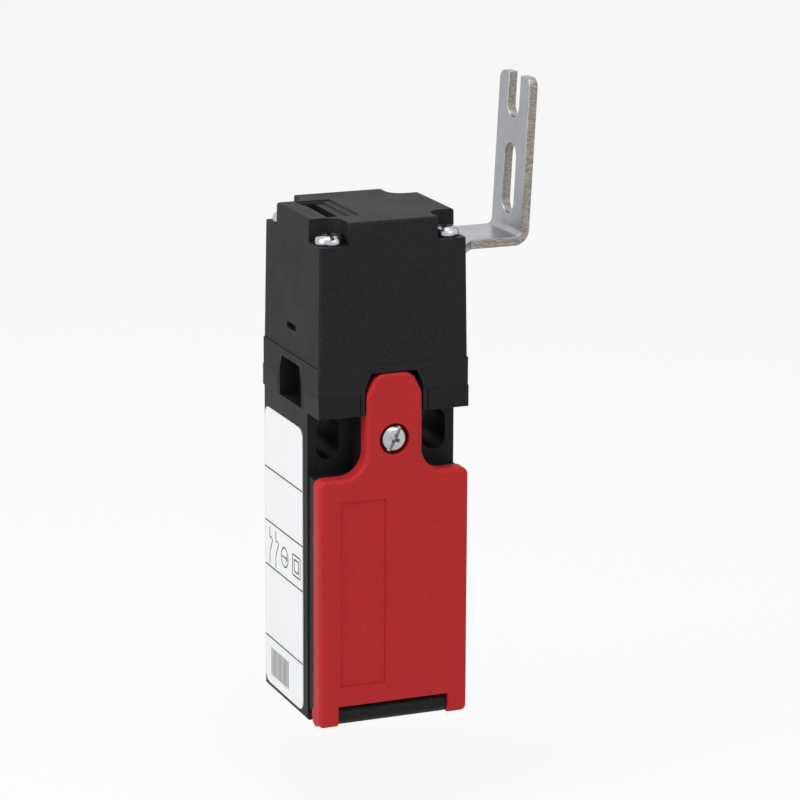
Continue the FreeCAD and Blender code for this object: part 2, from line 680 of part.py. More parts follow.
case = body("body_housing")
add_box(case, -d.body_half, d.body_half, d.recess_face, 0, d.body_floor, d.deck_top)
add_box(case, -d.rim_half, d.rim_half, d.lid_back, d.recess_face + 1, d.rim_foot, d.rim_top)
add_box(case, -d.pillar_half, d.pillar_half, d.lid_back, d.recess_face + 1,
        d.rim_top - 1, d.deck_top)
for across in (-1, 1):
    for along in (-1, 1):
        xs = sorted((d.block_in * across, whole * across), key=lambda s: s.value)
        ys = sorted((mid + d.block_in * along, mid + whole * along),
                    key=lambda s: s.value)
        add_box(case, xs[0], xs[1], ys[0], ys[1], d.deck_top, d.parting)
add_disc(case, "X", -d.barrel_half, d.barrel_half, [(d.hinge_y, d.hinge_z)],
         d.barrel_radius)
add_box(case, -d.barrel_half, d.barrel_half, d.hinge_y, d.recess_face + 1,
        d.hinge_z - d.web_half, d.hinge_z + d.web_half)
soften(case, d.body_edge, lambda p, v, e: near(abs(p.x), d.body_half.value)
       and (near(p.y, 0) or near(p.z, d.body_floor.value)))
cut_box(case, -d.relief_x, d.relief_x, mid - d.relief_y, mid + d.relief_y,
        d.deck_top, d.parting + 1)
cut_box(case, -d.cavity_half, d.cavity_half, d.lid_back - 1, d.cavity_back,
        d.cavity_floor, d.cavity_top)
cut_box(case, -d.shaft_half, d.shaft_half, d.shaft_front, d.cavity_back,
        d.cavity_top - 1, d.deck_under)
for side in (-1, 1):
    xs = sorted((d.rib_in * side, d.rib_out * side), key=lambda s: s.value)
    add_box(case, xs[0], xs[1], d.base_back, d.cavity_back + 1, d.flange_foot, d.cavity_top)
cut_hole(case, "Z", d.deck_under - 1, d.deck_top + 1, [(0, mid)], d.deck_hole)
slot_end = (d.slot_tall - d.slot_wide) * 0.5
for side in (-1, 1):
    cut_box(case, d.slot_x * side - d.slot_wide * 0.5, d.slot_x * side + d.slot_wide * 0.5,
            d.recess_face - 1, 1, -slot_end, slot_end)
for end in (-1, 1):
    cut_hole(case, "Y", d.recess_face - 1, 1,
             [(d.slot_x, slot_end * end), (-d.slot_x, slot_end * end)], d.slot_wide * 0.5)
cut_hole(case, "Y", d.lid_back - 1, d.lid_insert_end, [(0, d.lid_screw_z)],
         d.lid_insert_outer)
cut_hole(case, "Z", d.body_floor - 1, d.cavity_floor + 1, [(0, d.conduit_y)],
         d.conduit_radius)
cut_hole(case, "X", -d.barrel_half - 1, d.barrel_half + 1, [(d.hinge_y, d.hinge_z)],
         d.hinge_pin)
cut_hole(case, "X", d.barrel_half, whole + 1, [(d.hinge_y, d.hinge_z)], d.hinge_relief)
cut_hole(case, "X", -whole - 1, -d.barrel_half, [(d.hinge_y, d.hinge_z)], d.hinge_relief)
cut_hole(case, "Z", d.insert_foot, d.parting + 1, screw_places, d.insert_outer)
cut_hole(case, "Y", d.base_back - 1, d.block_screw_tip, [
    (d.block_screw_x, d.block_screw_z), (-d.block_screw_x, d.block_screw_z)],
    d.block_screw_core)


# Lid: one moulding with neck, lug, legs and hinge eyes

lid = body("front_lid")
span(lid, "Pad", "Y", d.lid_front, d.lid_back, [
    (-whole, d.leg_foot), (-d.leg_in, d.leg_foot), (-d.leg_in, d.lid_gate),
    (d.leg_in, d.lid_gate), (d.leg_in, d.leg_foot), (whole, d.leg_foot),
    (whole, d.lid_shoulder), (d.neck_half, d.lid_shoulder), (d.neck_half, d.lug_knee),
    (d.lug_crown, d.lug_top), (-d.lug_crown, d.lug_top), (-d.neck_half, d.lug_knee),
    (-d.neck_half, d.lid_shoulder), (-whole, d.lid_shoulder)])
soften(lid, d.neck_fillet, lambda p, v, e: abs(v.y) > 0.99
       and near(abs(p.x), d.neck_half.value) and near(p.z, d.lid_shoulder.value))
soften(lid, d.shoulder_round, lambda p, v, e: abs(v.y) > 0.99
       and near(abs(p.x), whole.value) and near(p.z, d.lid_shoulder.value))
soften(lid, d.lug_round, lambda p, v, e: abs(v.y) > 0.99 and p.z > d.lug_knee.value - 0.1)
soften(lid, d.lid_edge, lambda p, v, e: near(p.y, d.lid_front.value)
       and p.z > d.lid_gate.value + 0.1)
soften(lid, d.leg_round, lambda p, v, e: near(p.y, d.lid_front.value)
       and near(p.z, d.leg_foot.value))
add_disc(lid, "X", d.leg_in, whole, [(d.hinge_y, d.hinge_z)], d.hinge_eye)
add_disc(lid, "X", -whole, -d.leg_in, [(d.hinge_y, d.hinge_z)], d.hinge_eye)
eye_bore = d.hinge_pin + d.hinge_gap
pin_end = d.hinge_pin_half + d.hinge_gap + d.hinge_gap
cut_hole(lid, "X", d.leg_in - 1, pin_end, [(d.hinge_y, d.hinge_z)], eye_bore)
cut_hole(lid, "X", -pin_end, -d.leg_in + 1, [(d.hinge_y, d.hinge_z)], eye_bore)
cut_box(lid, -d.panel_out, -d.panel_in, d.lid_front - 1, d.lid_front + d.panel_deep,
        d.panel_low, d.panel_high)
span(lid, "Pocket", "Y", d.lid_back - d.seal_deep, d.lid_back + 1, rect(
    -d.seal_out, d.seal_out, d.seal_low, d.seal_high))
span(lid, "Pad", "Y", d.lid_back - d.seal_deep - 0.2, d.lid_back, rect(
    -d.seal_in, d.seal_in, d.seal_low + d.seal_wide, d.seal_high - d.seal_wide))
cut_box(lid, -d.lid_hollow, d.lid_hollow, d.lid_back - d.lid_hollow_deep, d.lid_back + 1,
        d.lid_hollow_low, d.lid_hollow_high)
cut_hole(lid, "Y", d.lid_front - 1, d.lid_well_floor, [(0, d.lid_screw_z)],
         d.lid_screw_well)
cut_hole(lid, "Y", d.lid_well_floor - 1, d.lid_back + 1, [(0, d.lid_screw_z)],
         d.lid_screw_core + 0.2)


# Key: bent sheet with end bar, window, stop ears, one closed and one open slot

key = body("actuator_key")
key_low = key_level - d.key_thick * 0.5
key_high = key_level + d.key_thick * 0.5
key_tip = -d.key_half_stroke - d.key_bar * 0.5
rise = (d.key_plate_top - key_high) * d.key_lean
span(key, "Pad", "Y", mid - d.key_half, mid + d.key_half, [
    (key_tip, key_low),
    (d.key_plate_x + d.key_thick - d.key_thick * d.key_lean, key_low),
    (d.key_plate_x + d.key_thick + rise, d.key_plate_top),
    (d.key_plate_x + rise, d.key_plate_top),
    (d.key_plate_x, key_high),
    (key_tip, key_high)])
soften(key, d.key_bend, lambda p, v, e: abs(v.y) > 0.99
       and near(p.x, d.key_plate_x.value) and near(p.z, key_high.value))
soften(key, d.key_bend + d.key_thick, lambda p, v, e: abs(v.y) > 0.99
       and p.x > d.key_plate_x.value and near(p.z, key_low.value))
soften(key, d.key_corner, lambda p, v, e: abs(v.x) > 0.9
       and near(p.z, d.key_plate_top.value) and near(abs(p.y - mid.value), d.key_half.value))
span(key, "Pad", "Z", key_low, key_high, [
    (d.key_ear_x, mid - d.key_ear_half), (d.key_ear_out, mid - d.key_ear_half),
    (d.key_ear_end, mid - d.key_half), (d.key_ear_end, mid + d.key_half),
    (d.key_ear_out, mid + d.key_ear_half), (d.key_ear_x, mid + d.key_ear_half)])
soften(key, d.key_tip_round, lambda p, v, e: upright(v) and near(p.x, key_tip.value))
cut_box(key, key_tip + d.key_bar, key_tip + d.key_bar + d.key_window_long,
        mid - d.key_window_half, mid + d.key_window_half, key_low - 1, key_high + 1)
soften(key, d.key_window_round, lambda p, v, e: upright(v)
       and near(abs(p.y - mid.value), d.key_window_half.value) and p.x < d.key_ear_x.value)
plate_from = d.key_plate_x - 0.5
plate_to = d.key_plate_x + d.key_thick + rise + 1
cut_low = d.key_slot_low + d.key_slot_half
cut_high = d.key_slot_high - d.key_slot_half
span(key, "Pocket", "X", plate_from, plate_to, rect(
    mid - d.key_slot_half, mid + d.key_slot_half, cut_low, cut_high))
cut_hole(key, "X", plate_from, plate_to, [(mid, cut_low)], d.key_slot_half)
cut_hole(key, "X", plate_from, plate_to, [(mid, cut_high)], d.key_slot_half)
notch_low = d.key_notch_low + d.key_slot_half
span(key, "Pocket", "X", plate_from, plate_to, rect(
    mid - d.key_slot_half, mid + d.key_slot_half, notch_low, d.key_plate_top + 1))
cut_hole(key, "X", plate_from, plate_to, [(mid, notch_low)], d.key_slot_half)


# Cam wheel, drawn upright on its own axis and then turned to the key-in position

cam = body("cam_wheel")
add_disc(cam, "Y", -d.cam_half, d.cam_half, [(0, 0)], d.cam_radius)
fan = [(0, 0)]
for clock in (35, 80, 125, 170, 210, 248):
    fan.append((16 * math.sin(math.radians(clock)), 16 * math.cos(math.radians(clock))))
span(cam, "Pocket", "Y", -d.cam_half - 1, d.cam_half + 1, fan)
add_disc(cam, "Y", -d.cam_half, d.cam_half, [(d.lobe_offset, 0)], d.lobe_radius)
span(cam, "Pocket", "Y", -d.cam_half - 1, d.cam_half + 1, rect(
    -d.cam_notch_half, d.cam_notch_half, d.cam_floor, d.cam_radius + 2))
span(cam, "Pocket", "Y", -d.cam_half - 1, d.cam_half + 1, rect(
    -d.cam_radius - 2, -d.cam_floor, -d.cam_notch_half, d.cam_notch_half))
add_disc(cam, "Y", -d.hub_half, d.hub_half, [(0, 0)], d.hub_radius)
cut_hole(cam, "Y", -d.hub_half - 1, d.hub_half + 1, [(0, 0)], d.axle_radius + d.axle_gap)
bind(cam, "Placement.Base.y", mid)
bind(cam, "Placement.Base.z", d.axis_z)
swing = math.degrees(math.atan(d.key_half_stroke.value / d.key_arm.value))
cam.Placement = FreeCAD.Placement(
    FreeCAD.Vector(0, mid.value, d.axis_z.value),
    FreeCAD.Rotation(FreeCAD.Vector(0, 1, 0), -swing))

piece(rod("cam_axle", "Y", 0, d.axis_z, mid - d.axle_half, mid + d.axle_half,
          d.axle_radius), "cam_axle")


# Plunger, guide, seal and gasket below the cam

plunger = body("head_plunger")
cap_top = d.axis_z - d.lobe_radius + d.lobe_drop - d.cam_gap
add_box(plunger, -d.cap_half_x, d.cap_half_x, mid - d.cap_half_y, mid + d.cap_half_y,
        cap_top - d.cap_high, cap_top)
soften(plunger, d.cap_round, lambda p, v, e: near(p.z, cap_top.value)
       and near(abs(p.x), d.cap_half_x.value))
add_disc(plunger, "Z", d.stem_foot, cap_top - d.cap_high + 0.5, [(0, mid)], d.stem_radius)

guide = body("plunger_guide")
add_box(guide, -d.hollow_half + d.post_gap, d.hollow_half - d.post_gap,
        mid - d.hollow_y + d.post_gap, mid + d.hollow_y - d.post_gap,
        d.gasket_top, d.guide_top)
post_top = d.axis_z - d.axle_radius - d.post_gap
for side in (-1, 1):
    ys = sorted((mid + d.post_in * side, mid + (d.axle_half - d.post_gap) * side),
                key=lambda s: s.value)
    add_box(guide, -d.axle_radius + d.post_gap, d.axle_radius - d.post_gap, ys[0], ys[1],
            d.gasket_top, post_top)
cut_box(guide, -d.cap_half_x - d.cap_room, d.cap_half_x + d.cap_room,
        mid - d.cap_half_y - d.cap_room, mid + d.cap_half_y + d.cap_room,
        d.cap_well, d.guide_top + 1)
cut_hole(guide, "Z", d.gasket_top - 1, d.guide_top, [(0, mid)], d.stem_radius + d.stem_gap)
cut_hole(guide, "Z", d.gasket_top - 1, d.gasket_top + d.seal_high_head, [(0, mid)],
         d.stem_seal_outer)
piece(cut("plunger_seal", rod("seal_disc", "Z", 0, mid, d.gasket_top,
                              d.gasket_top + d.seal_high_head, d.stem_seal_outer),
          rod("seal_eye", "Z", 0, mid, d.gasket_top - 1, d.guide_top,
              d.stem_radius + d.stem_gap)), "plunger_seal")
piece(cut("head_gasket", box("gasket_sheet", -d.hollow_half, d.hollow_half,
                             mid - d.hollow_y, mid + d.hollow_y, d.deck_top, d.gasket_top),
          rod("gasket_eye", "Z", 0, mid, d.deck_top - 1, d.guide_top, d.deck_hole)),
      "head_gasket")


# Screws and inserts

def screw(name, axis, first, second, tip, seat, top, cap, core, drive):
    """A pan-headed screw along an axis; top lies on the side its driver comes from."""
    low, high = sorted((size(seat), size(top)), key=lambda s: s.value)
    shaft_low, shaft_high = sorted((size(tip), size(seat)), key=lambda s: s.value)
    head_disc = rod(name + "_cap", axis, first, second, low, high, cap)
    doc.recompute()
    crest = size(top).value
    letter = AXES[axis][2]
    dome = doc.addObject("Part::Fillet", name + "_dome")
    dome.Base = head_disc
    rim = [i for i, e in enumerate(head_disc.Shape.Edges, start=1)
           if len(e.Vertexes) == 1 and near(getattr(e.CenterOfMass, letter), crest, 1e-4)]
    bend = abs((high - low).value) * 0.62
    dome.Edges = [(i, bend, bend) for i in rim]
    shaft = rod(name + "_core", axis, first, second, shaft_low, shaft_high, core)
    whole_screw = fuse(name + "_blank", dome, shaft)
    first = size(first)
    second = size(second)
    deep = (high - low) * 0.55
    if size(top).value > size(seat).value:
        bottom, ceiling = high - deep, high + 0.5
    else:
        bottom, ceiling = low - 0.5, low + deep
    arm = size(cap) * 0.62
    half = size(drive) * 0.5
    bars = []
    for number, (wide, tall) in enumerate(((arm, half), (half, arm))):
        if axis == "Z":
            bars.append(box("%s_drive%d" % (name, number), first - wide, first + wide,
                            second - tall, second + tall, bottom, ceiling))
        else:
            bars.append(box("%s_drive%d" % (name, number), first - wide, first + wide,
                            bottom, ceiling, second - tall, second + tall))
    return cut(name, whole_screw, *bars)


def sleeve(name, axis, first, second, start, end, outer, inner):
    return cut(name, rod(name + "_out", axis, first, second, start, end, outer),
               rod(name + "_in", axis, first, second, size(start) - 1, size(end) + 1, inner))


piece(group("head_screws", *[
    screw("head_screw_%d" % n, "Z", x, y, d.head_screw_tip, d.pocket_floor,
          d.pocket_floor + d.head_screw_cap_high, d.head_screw_cap, d.head_screw_core, 0.7)
    for n, (x, y) in enumerate(screw_places)]), "head_screws")
piece(group("head_inserts", *[
    sleeve("head_insert_%d" % n, "Z", x, y, d.insert_foot, d.parting, d.insert_outer,
           d.head_screw_core + 0.05)
    for n, (x, y) in enumerate(screw_places)]), "head_inserts")
piece(screw("lid_screw", "Y", 0, d.lid_screw_z, d.lid_screw_tip, d.lid_screw_seat,
            d.lid_front + 0.1, d.lid_screw_cap, d.lid_screw_core, 0.8), "lid_screw")
piece(sleeve("lid_screw_seal", "Y", 0, d.lid_screw_z, d.lid_screw_seat, d.lid_well_floor,
             d.lid_screw_cap - 0.3, d.lid_screw_core + 0.05), "lid_screw_seal")
piece(sleeve("lid_insert", "Y", 0, d.lid_screw_z, d.lid_back, d.lid_insert_end,
             d.lid_insert_outer, d.lid_screw_bore), "lid_insert")
piece(rod("hinge_pin", "X", d.hinge_y, d.hinge_z, -d.hinge_pin_half, d.hinge_pin_half,
          d.hinge_pin), "hinge_pin")
piece(cut("lid_gasket", box("lid_gasket_out", -d.seal_out, d.seal_out,
                            d.lid_back - d.seal_deep, d.lid_back - d.seal_gap,
                            d.seal_low, d.seal_high),
          box("lid_gasket_in", -d.seal_in, d.seal_in, d.lid_back - 2, d.lid_back + 1,
              d.seal_low + d.seal_wide, d.seal_high - d.seal_wide)), "lid_gasket")

plate = body("nameplate")
span(plate, "Pad", "X", -d.body_half - d.plate_thick, -d.body_half, rect(
    d.plate_front, d.plate_back, d.plate_foot, d.plate_top))
soften(plate, d.plate_round, lambda p, v, e: abs(v.x) > 0.99)


# Contact block: base, cap, carrier, bridges, fixed contacts, springs and terminals

base = body("contact_base")
add_box(base, -d.base_half, d.base_half, d.base_front, d.base_back, d.base_foot, d.base_top)
add_box(base, -d.tower_half, d.tower_half, d.base_front, d.flange_front - 2,
        d.tower_foot, d.base_foot)
add_box(base, -d.base_half, d.base_half, d.flange_front, d.base_back,
        d.flange_foot, d.base_foot)
cut_box(base, -d.carrier_half - d.carrier_gap, d.carrier_half + d.carrier_gap,
        d.base_front - 1, d.carrier_back + d.carrier_gap, d.spring_floor, d.base_top + 1)
poles = [d.pole_top, d.pole_top - d.pole_pitch]
thick = d.strip_thick
for level in poles:
    cut_box(base, -d.chamber_half, d.chamber_half, d.chamber_front,
            d.carrier_back + d.carrier_gap, level - d.chamber_tall, level)
    for side in (-1, 1):
        xs = sorted(((d.strip_in - 0.1) * side, (d.strip_out + 0.1) * side),
                    key=lambda s: s.value)
        cut_box(base, xs[0], xs[1], d.base_front - 1, d.blade_back + 0.1,
                level, level + thick + 0.05)
screw_spots = [(d.terminal_x * side, level - d.terminal_drop)
               for level in poles for side in (-1, 1)]
cut_hole(base, "Y", d.base_front - 1, d.terminal_tip + 0.3, screw_spots, d.terminal_hole)
cut_hole(base, "Y", d.flange_front - 1, d.base_back + 1, [
    (d.block_screw_x, d.block_screw_z), (-d.block_screw_x, d.block_screw_z)],
    d.block_screw_core + 0.15)

cap_plate = body("contact_cap")
add_box(cap_plate, -d.cap_plate_half, d.cap_plate_half, d.base_front - d.cap_plate_thick,
        d.base_front, d.base_foot + 1, d.base_top - 1)
soften(cap_plate, d.cap_plate_edge, lambda p, v, e: near(
    p.y, (d.base_front - d.cap_plate_thick).value), kind="Chamfer")

carrier = body("contact_carrier")
add_box(carrier, -d.carrier_half, d.carrier_half, d.carrier_front, d.carrier_back,
        d.carrier_foot, d.carrier_top)
for level in poles:
    cut_box(carrier, -d.carrier_half - 1, d.carrier_half + 1,
            mid - d.bridge_wide * 0.5 - d.carrier_gap,
            mid + d.bridge_wide * 0.5 + d.carrier_gap,
            level - d.bridge_low - d.bridge_spring, level - d.window_lift)
cut_hole(carrier, "Z", d.carrier_foot - 1, d.spring_seat, [(0, mid)], d.spring_bore)
soften(carrier, d.carrier_edge, lambda p, v, e: upright(v)
       and near(abs(p.x), d.carrier_half.value)
       and (near(p.y, d.carrier_front.value) or near(p.y, d.carrier_back.value)),
       kind="Chamfer")


def contact_strip(name, side, level):
    xs = sorted((d.strip_in * side, d.strip_out * side), key=lambda s: s.value)
    tabs = sorted((d.tab_in * side, d.strip_out * side), key=lambda s: s.value)
    tab_back = d.base_front - 0.05
    blade = box(name + "_blade", xs[0], xs[1], tab_back - 0.4, d.blade_back,
                level, level + thick)
    tab = box(name + "_tab", tabs[0], tabs[1], tab_back - thick, tab_back,
              level - d.tab_drop, level + thick)
    trim = box(name + "_trim", *sorted_pair(xs, tabs, side), tab_back - 1,
               tab_back + 2.5, level - 1, level + 2)
    hole = rod(name + "_hole", "Y", d.terminal_x * side, level - d.terminal_drop,
               tab_back - 2, tab_back + 1, d.terminal_hole)
    return cut(name, fuse(name + "_blank", blade, tab), hole, trim)


def sorted_pair(xs, tabs, side):
    if side > 0:
        return xs[0] - 0.5, tabs[0]
    return tabs[1], xs[1] + 0.5


strips = []
fixed_tips = []
moving_tips = []
bridges = []
bridge_coils = []
for number, level in enumerate(poles):
    for side, word in ((-1, "left"), (1, "right")):
        tail = "%s_%d" % (word, number)
        strips.append(contact_strip("strip_" + tail, side, level))
        fixed_tips.append(rod("fixed_tip_" + tail, "Z", d.tip_x * side, mid,
                              level - d.tip_thick, level, d.tip_radius))
        moving_tips.append(rod("moving_tip_" + tail, "Z", d.tip_x * side, mid,
                               level - d.bridge_low + thick,
                               level - d.tip_thick - d.contact_gap, d.tip_radius))
    bridges.append(box("bridge_%d" % number, -d.bridge_half, d.bridge_half,
                       mid - d.bridge_wide * 0.5, mid + d.bridge_wide * 0.5,
                       level - d.bridge_low, level - d.bridge_low + thick))
piece(group("fixed_contacts", *strips), "fixed_contacts")
piece(group("fixed_tips", *fixed_tips), "fixed_tips")
piece(group("moving_tips", *moving_tips), "moving_tips")
piece(group("contact_bridges", *bridges), "contact_bridges")


def coil(name, low, high, radius, wire, turns):
    """A round-wire coil between two levels on the plunger axis."""
    helix = doc.addObject("Part::Helix", name + "_helix")
    low = size(low) + wire
    high = size(high) - wire
    bind(helix, "Height", high - low)
    bind(helix, "Pitch", (high - low) * (1.0 / turns))
    bind(helix, "Radius", radius)
    bind(helix, "Placement.Base.y", mid)
    bind(helix, "Placement.Base.z", low)
    ring = doc.addObject("Part::Circle", name + "_wire")
    climb = (high - low).value / turns / (2 * math.pi * size(radius).value)
    along_wire = FreeCAD.Vector(0, 1, climb)
    ring.Placement = FreeCAD.Placement(
        FreeCAD.Vector(0, 0, 0), FreeCAD.Rotation(FreeCAD.Vector(0, 0, 1), along_wire))
    bind(ring, "Radius", wire)
    bind(ring, "Placement.Base.x", radius)
    bind(ring, "Placement.Base.y", mid)
    bind(ring, "Placement.Base.z", low)
    doc.recompute()
    sweep = doc.addObject("Part::Sweep", name)
    sweep.Sections = [ring]
    sweep.Spine = (helix, ["Edge%d" % (n + 1) for n in range(len(helix.Shape.Edges))])
    sweep.Solid = True
    sweep.Frenet = True
    return sweep


piece(group("bridge_springs", *[
    coil("bridge_spring_%d" % n, level - d.bridge_low - d.bridge_spring,
         level - d.bridge_low, d.bridge_coil, d.bridge_wire, 3)
    for n, level in enumerate(poles)]), "bridge_springs")
piece(coil("return_spring", d.spring_floor, d.spring_seat, d.return_coil, d.return_wire, 5),
      "return_spring")

clamp_back = d.base_front - 0.05 - thick
piece(group("terminal_clamps", *[
    cut("clamp_%d" % n, box("clamp_sheet_%d" % n, x - d.clamp_half, x + d.clamp_half,
                            clamp_back - d.clamp_thick, clamp_back,
                            z - d.clamp_half, z + d.clamp_half),
        rod("clamp_eye_%d" % n, "Y", x, z, clamp_back - 2, clamp_back + 1, d.terminal_hole))
    for n, (x, z) in enumerate(screw_spots)]), "terminal_clamps")
piece(group("terminal_screws", *[
    screw("terminal_screw_%d" % n, "Y", x, z, d.terminal_tip,
          clamp_back - d.clamp_thick, clamp_back - d.clamp_thick - d.terminal_cap_high,
          d.terminal_cap, d.terminal_core, 0.8)
    for n, (x, z) in enumerate(screw_spots)]), "terminal_screws")
piece(group("block_screws", *[
    screw("block_screw_%d" % n, "Y", d.block_screw_x * side, d.block_screw_z,
          d.block_screw_tip, d.flange_front,
          d.flange_front - d.block_screw_high, d.block_screw_cap,
          d.block_screw_core, 0.7)
    for n, side in enumerate((-1, 1))]), "block_screws")


# Check everything, then write one file for each named piece

doc.recompute()
faults = []
for item in doc.Objects:
    if "Invalid" in item.State or "Error" in item.State:
        faults.append(item.Name)
for item in PIECES:
    shape = item.Shape
    if shape.isNull() or not shape.isValid() or not shape.Solids:
        faults.append(item.Label + " shape")
if faults:
    raise RuntimeError("faulty: " + ", ".join(faults))
os.makedirs("parts", exist_ok=True)
for item in PIECES:
    item.Shape.exportStep("parts/" + item.Label + ".step")
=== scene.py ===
import json
import math

import bpy
from mathutils import Matrix, Vector
from mathutils.bvhtree import BVHTree


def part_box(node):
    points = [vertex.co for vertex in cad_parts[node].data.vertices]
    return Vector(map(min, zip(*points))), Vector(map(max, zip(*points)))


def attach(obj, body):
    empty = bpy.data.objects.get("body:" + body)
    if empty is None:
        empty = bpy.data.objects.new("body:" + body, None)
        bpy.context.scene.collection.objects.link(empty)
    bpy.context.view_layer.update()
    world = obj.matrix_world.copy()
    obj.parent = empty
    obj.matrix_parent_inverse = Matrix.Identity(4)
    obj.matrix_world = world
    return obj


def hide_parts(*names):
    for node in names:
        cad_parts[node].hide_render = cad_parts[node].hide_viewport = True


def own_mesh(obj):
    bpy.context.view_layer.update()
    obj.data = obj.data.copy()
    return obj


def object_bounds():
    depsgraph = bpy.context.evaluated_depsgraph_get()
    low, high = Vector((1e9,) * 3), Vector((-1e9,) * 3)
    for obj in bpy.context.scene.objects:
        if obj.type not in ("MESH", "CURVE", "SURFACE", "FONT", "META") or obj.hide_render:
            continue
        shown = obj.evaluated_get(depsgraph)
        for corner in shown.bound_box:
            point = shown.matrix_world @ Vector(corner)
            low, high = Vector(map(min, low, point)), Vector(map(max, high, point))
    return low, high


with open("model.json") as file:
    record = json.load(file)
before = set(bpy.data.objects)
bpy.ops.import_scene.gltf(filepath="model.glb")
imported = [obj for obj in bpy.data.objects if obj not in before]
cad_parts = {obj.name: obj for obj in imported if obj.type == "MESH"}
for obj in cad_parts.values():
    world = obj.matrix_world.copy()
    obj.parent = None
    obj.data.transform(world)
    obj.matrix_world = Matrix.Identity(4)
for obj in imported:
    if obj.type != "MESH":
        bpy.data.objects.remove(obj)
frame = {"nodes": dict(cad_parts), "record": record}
cad_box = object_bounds()

bl_info = {
    "name": "Tongue interlock switch looks",
    "version": (1, 0, 0),
    "blender": (4, 5, 0),
    "location": "3D View > Sidebar > Interlock",
    "description": "Dresses the switch's solids with finishes and fine pieces",
    "category": "Object",
}

MM = 0.001
UP = Vector((0, 0, 1))
OUT = Vector((0, -1, 0))

# From the sides of a node's box to the axes of the pieces in its corners.
HEAD_SCREW_INSET = 2.9769 * MM
TERMINAL_INSET = 2.41 * MM
BLOCK_SCREW_INSET = 2.38 * MM
INSERT_INSET = 2.2 * MM

# Radii of the screws' shanks and of the block screws' heads.
LID_SHANK = 1.22 * MM
TERMINAL_SHANK = 1.4 * MM
BLOCK_SHANK = 1.2 * MM
BLOCK_CAP = 2.2 * MM

CAP_SHY = 0.02 * MM  # how far a modelled screw head stays below the top of its solid
SLEEVE_SHY = 0.1 * MM  # how far a modelled insert stays inside its solid
SLEEVE_BORE = 1.56 * MM  # radius of the bore of an insert
SPRING_FOOT = -39.3 * MM  # height of the seat on which the return spring stands

# The conduit entry's axis, the radii of its thread, and its rise in one turn.
ENTRY_Y = -12.6 * MM
ENTRY_CORE, ENTRY_CREST = 9.15 * MM, 9.9 * MM
ENTRY_PITCH = 1.5 * MM

# Width of the broken edges, and the least turn of an edge that is broken.
SHARP = math.radians(55)
HEAD_EDGE = BODY_EDGE = 0.12 * MM
LID_EDGE = 0.15 * MM
KEY_EDGE = 0.16 * MM

# The label's print: levels and heights are shares of the label's height, from its top down,
# and places across it and widths are in millimetres, from its rear edge.
RULES = (0.217, 0.41, 0.57, 0.83)
SYMBOLS_TOP = 0.425
CONTACTS, ARROW, SQUARES = (2.6, 6.0), 11.0, 17.6
STRIPES, STRIPES_FROM, STRIPE_STEP, STRIPE_WIDE = 14, 3.4, 0.72, 0.34
STRIPES_LEVEL, STRIPES_TALL = 0.915, 0.1

# The camera: lens in millimetres, place in metres, angles in radians.
LENS, SENSOR = 153.62, 36
CAMERA_SPOT = (-0.23871, -0.61626, 0.17255)
YAW, PITCH, ROLL = 0.388958, 0.254068, 0.004646

# Each lamp's name, place, width and height in metres, and power in watts.
LAMPS = (
    ("top_softbox", (-0.15, -0.25, 0.75), (0.7, 0.7), 4.8),
    ("left_softbox", (-0.75, -0.1, 0.25), (0.5, 0.7), 3.0),
    ("front_softbox", (0.35, -0.8, 0.3), (0.6, 0.6), 1.2),
)
LAMP_AIM = Vector((0, -0.0155, 0.005))
FLOOR_WIDE = 6  # in metres
FLOOR_SHOWN = 0.88  # share of plain white in what the camera sees of the floor
SKY, SKY_STRENGTH = (0.86, 0.88, 0.92), 0.26  # the room's light
WHITE = (1, 1, 1)


def tone(red, green, blue):
    """A colour given in 0 to 255 screen values, as linear light."""
    return tuple(
        v / 12.92 if v <= 0.04045 else ((v + 0.055) / 1.055) ** 2.4
        for v in (red / 255, green / 255, blue / 255)
    )


# ---------------------------------------------------------------- settings


def length(label, text, value):
    return bpy.props.FloatProperty(
        name=label, description=text, default=value, unit="LENGTH", precision=5
    )


def shade(label, text, *screen):
    return bpy.props.FloatVectorProperty(
        name=label, description=text, default=tone(*screen), subtype="COLOR",
        min=0, max=1,
    )


class InterlockSizes(bpy.types.PropertyGroup):
    head_cap: length("Head screw cap", "Radius of a pan head on the head", 2.7 * MM)
    head_shank: length("Head screw shank", "Radius of a head screw's shank", 1.45 * MM)
    lid_cap: length("Lid screw cap", "Radius of the lid screw's head", 2.65 * MM)
    terminal_cap: length("Terminal screw cap", "Radius of a terminal screw's head", 2.2 * MM)
    recess_deep: length("Recess depth", "Depth of the cross in a head screw", 1.15 * MM)
    pitch: length("Thread pitch", "Rise of a screw thread in one turn", 0.5 * MM)
    print_rise: length("Print thickness", "How far the print stands on the label", 0.015 * MM)
    rule_wide: length("Label rule", "Width of the rules on the label", 0.3 * MM)
    floor_drop: length("Floor drop", "Room under the part for its open lid", 20 * MM)


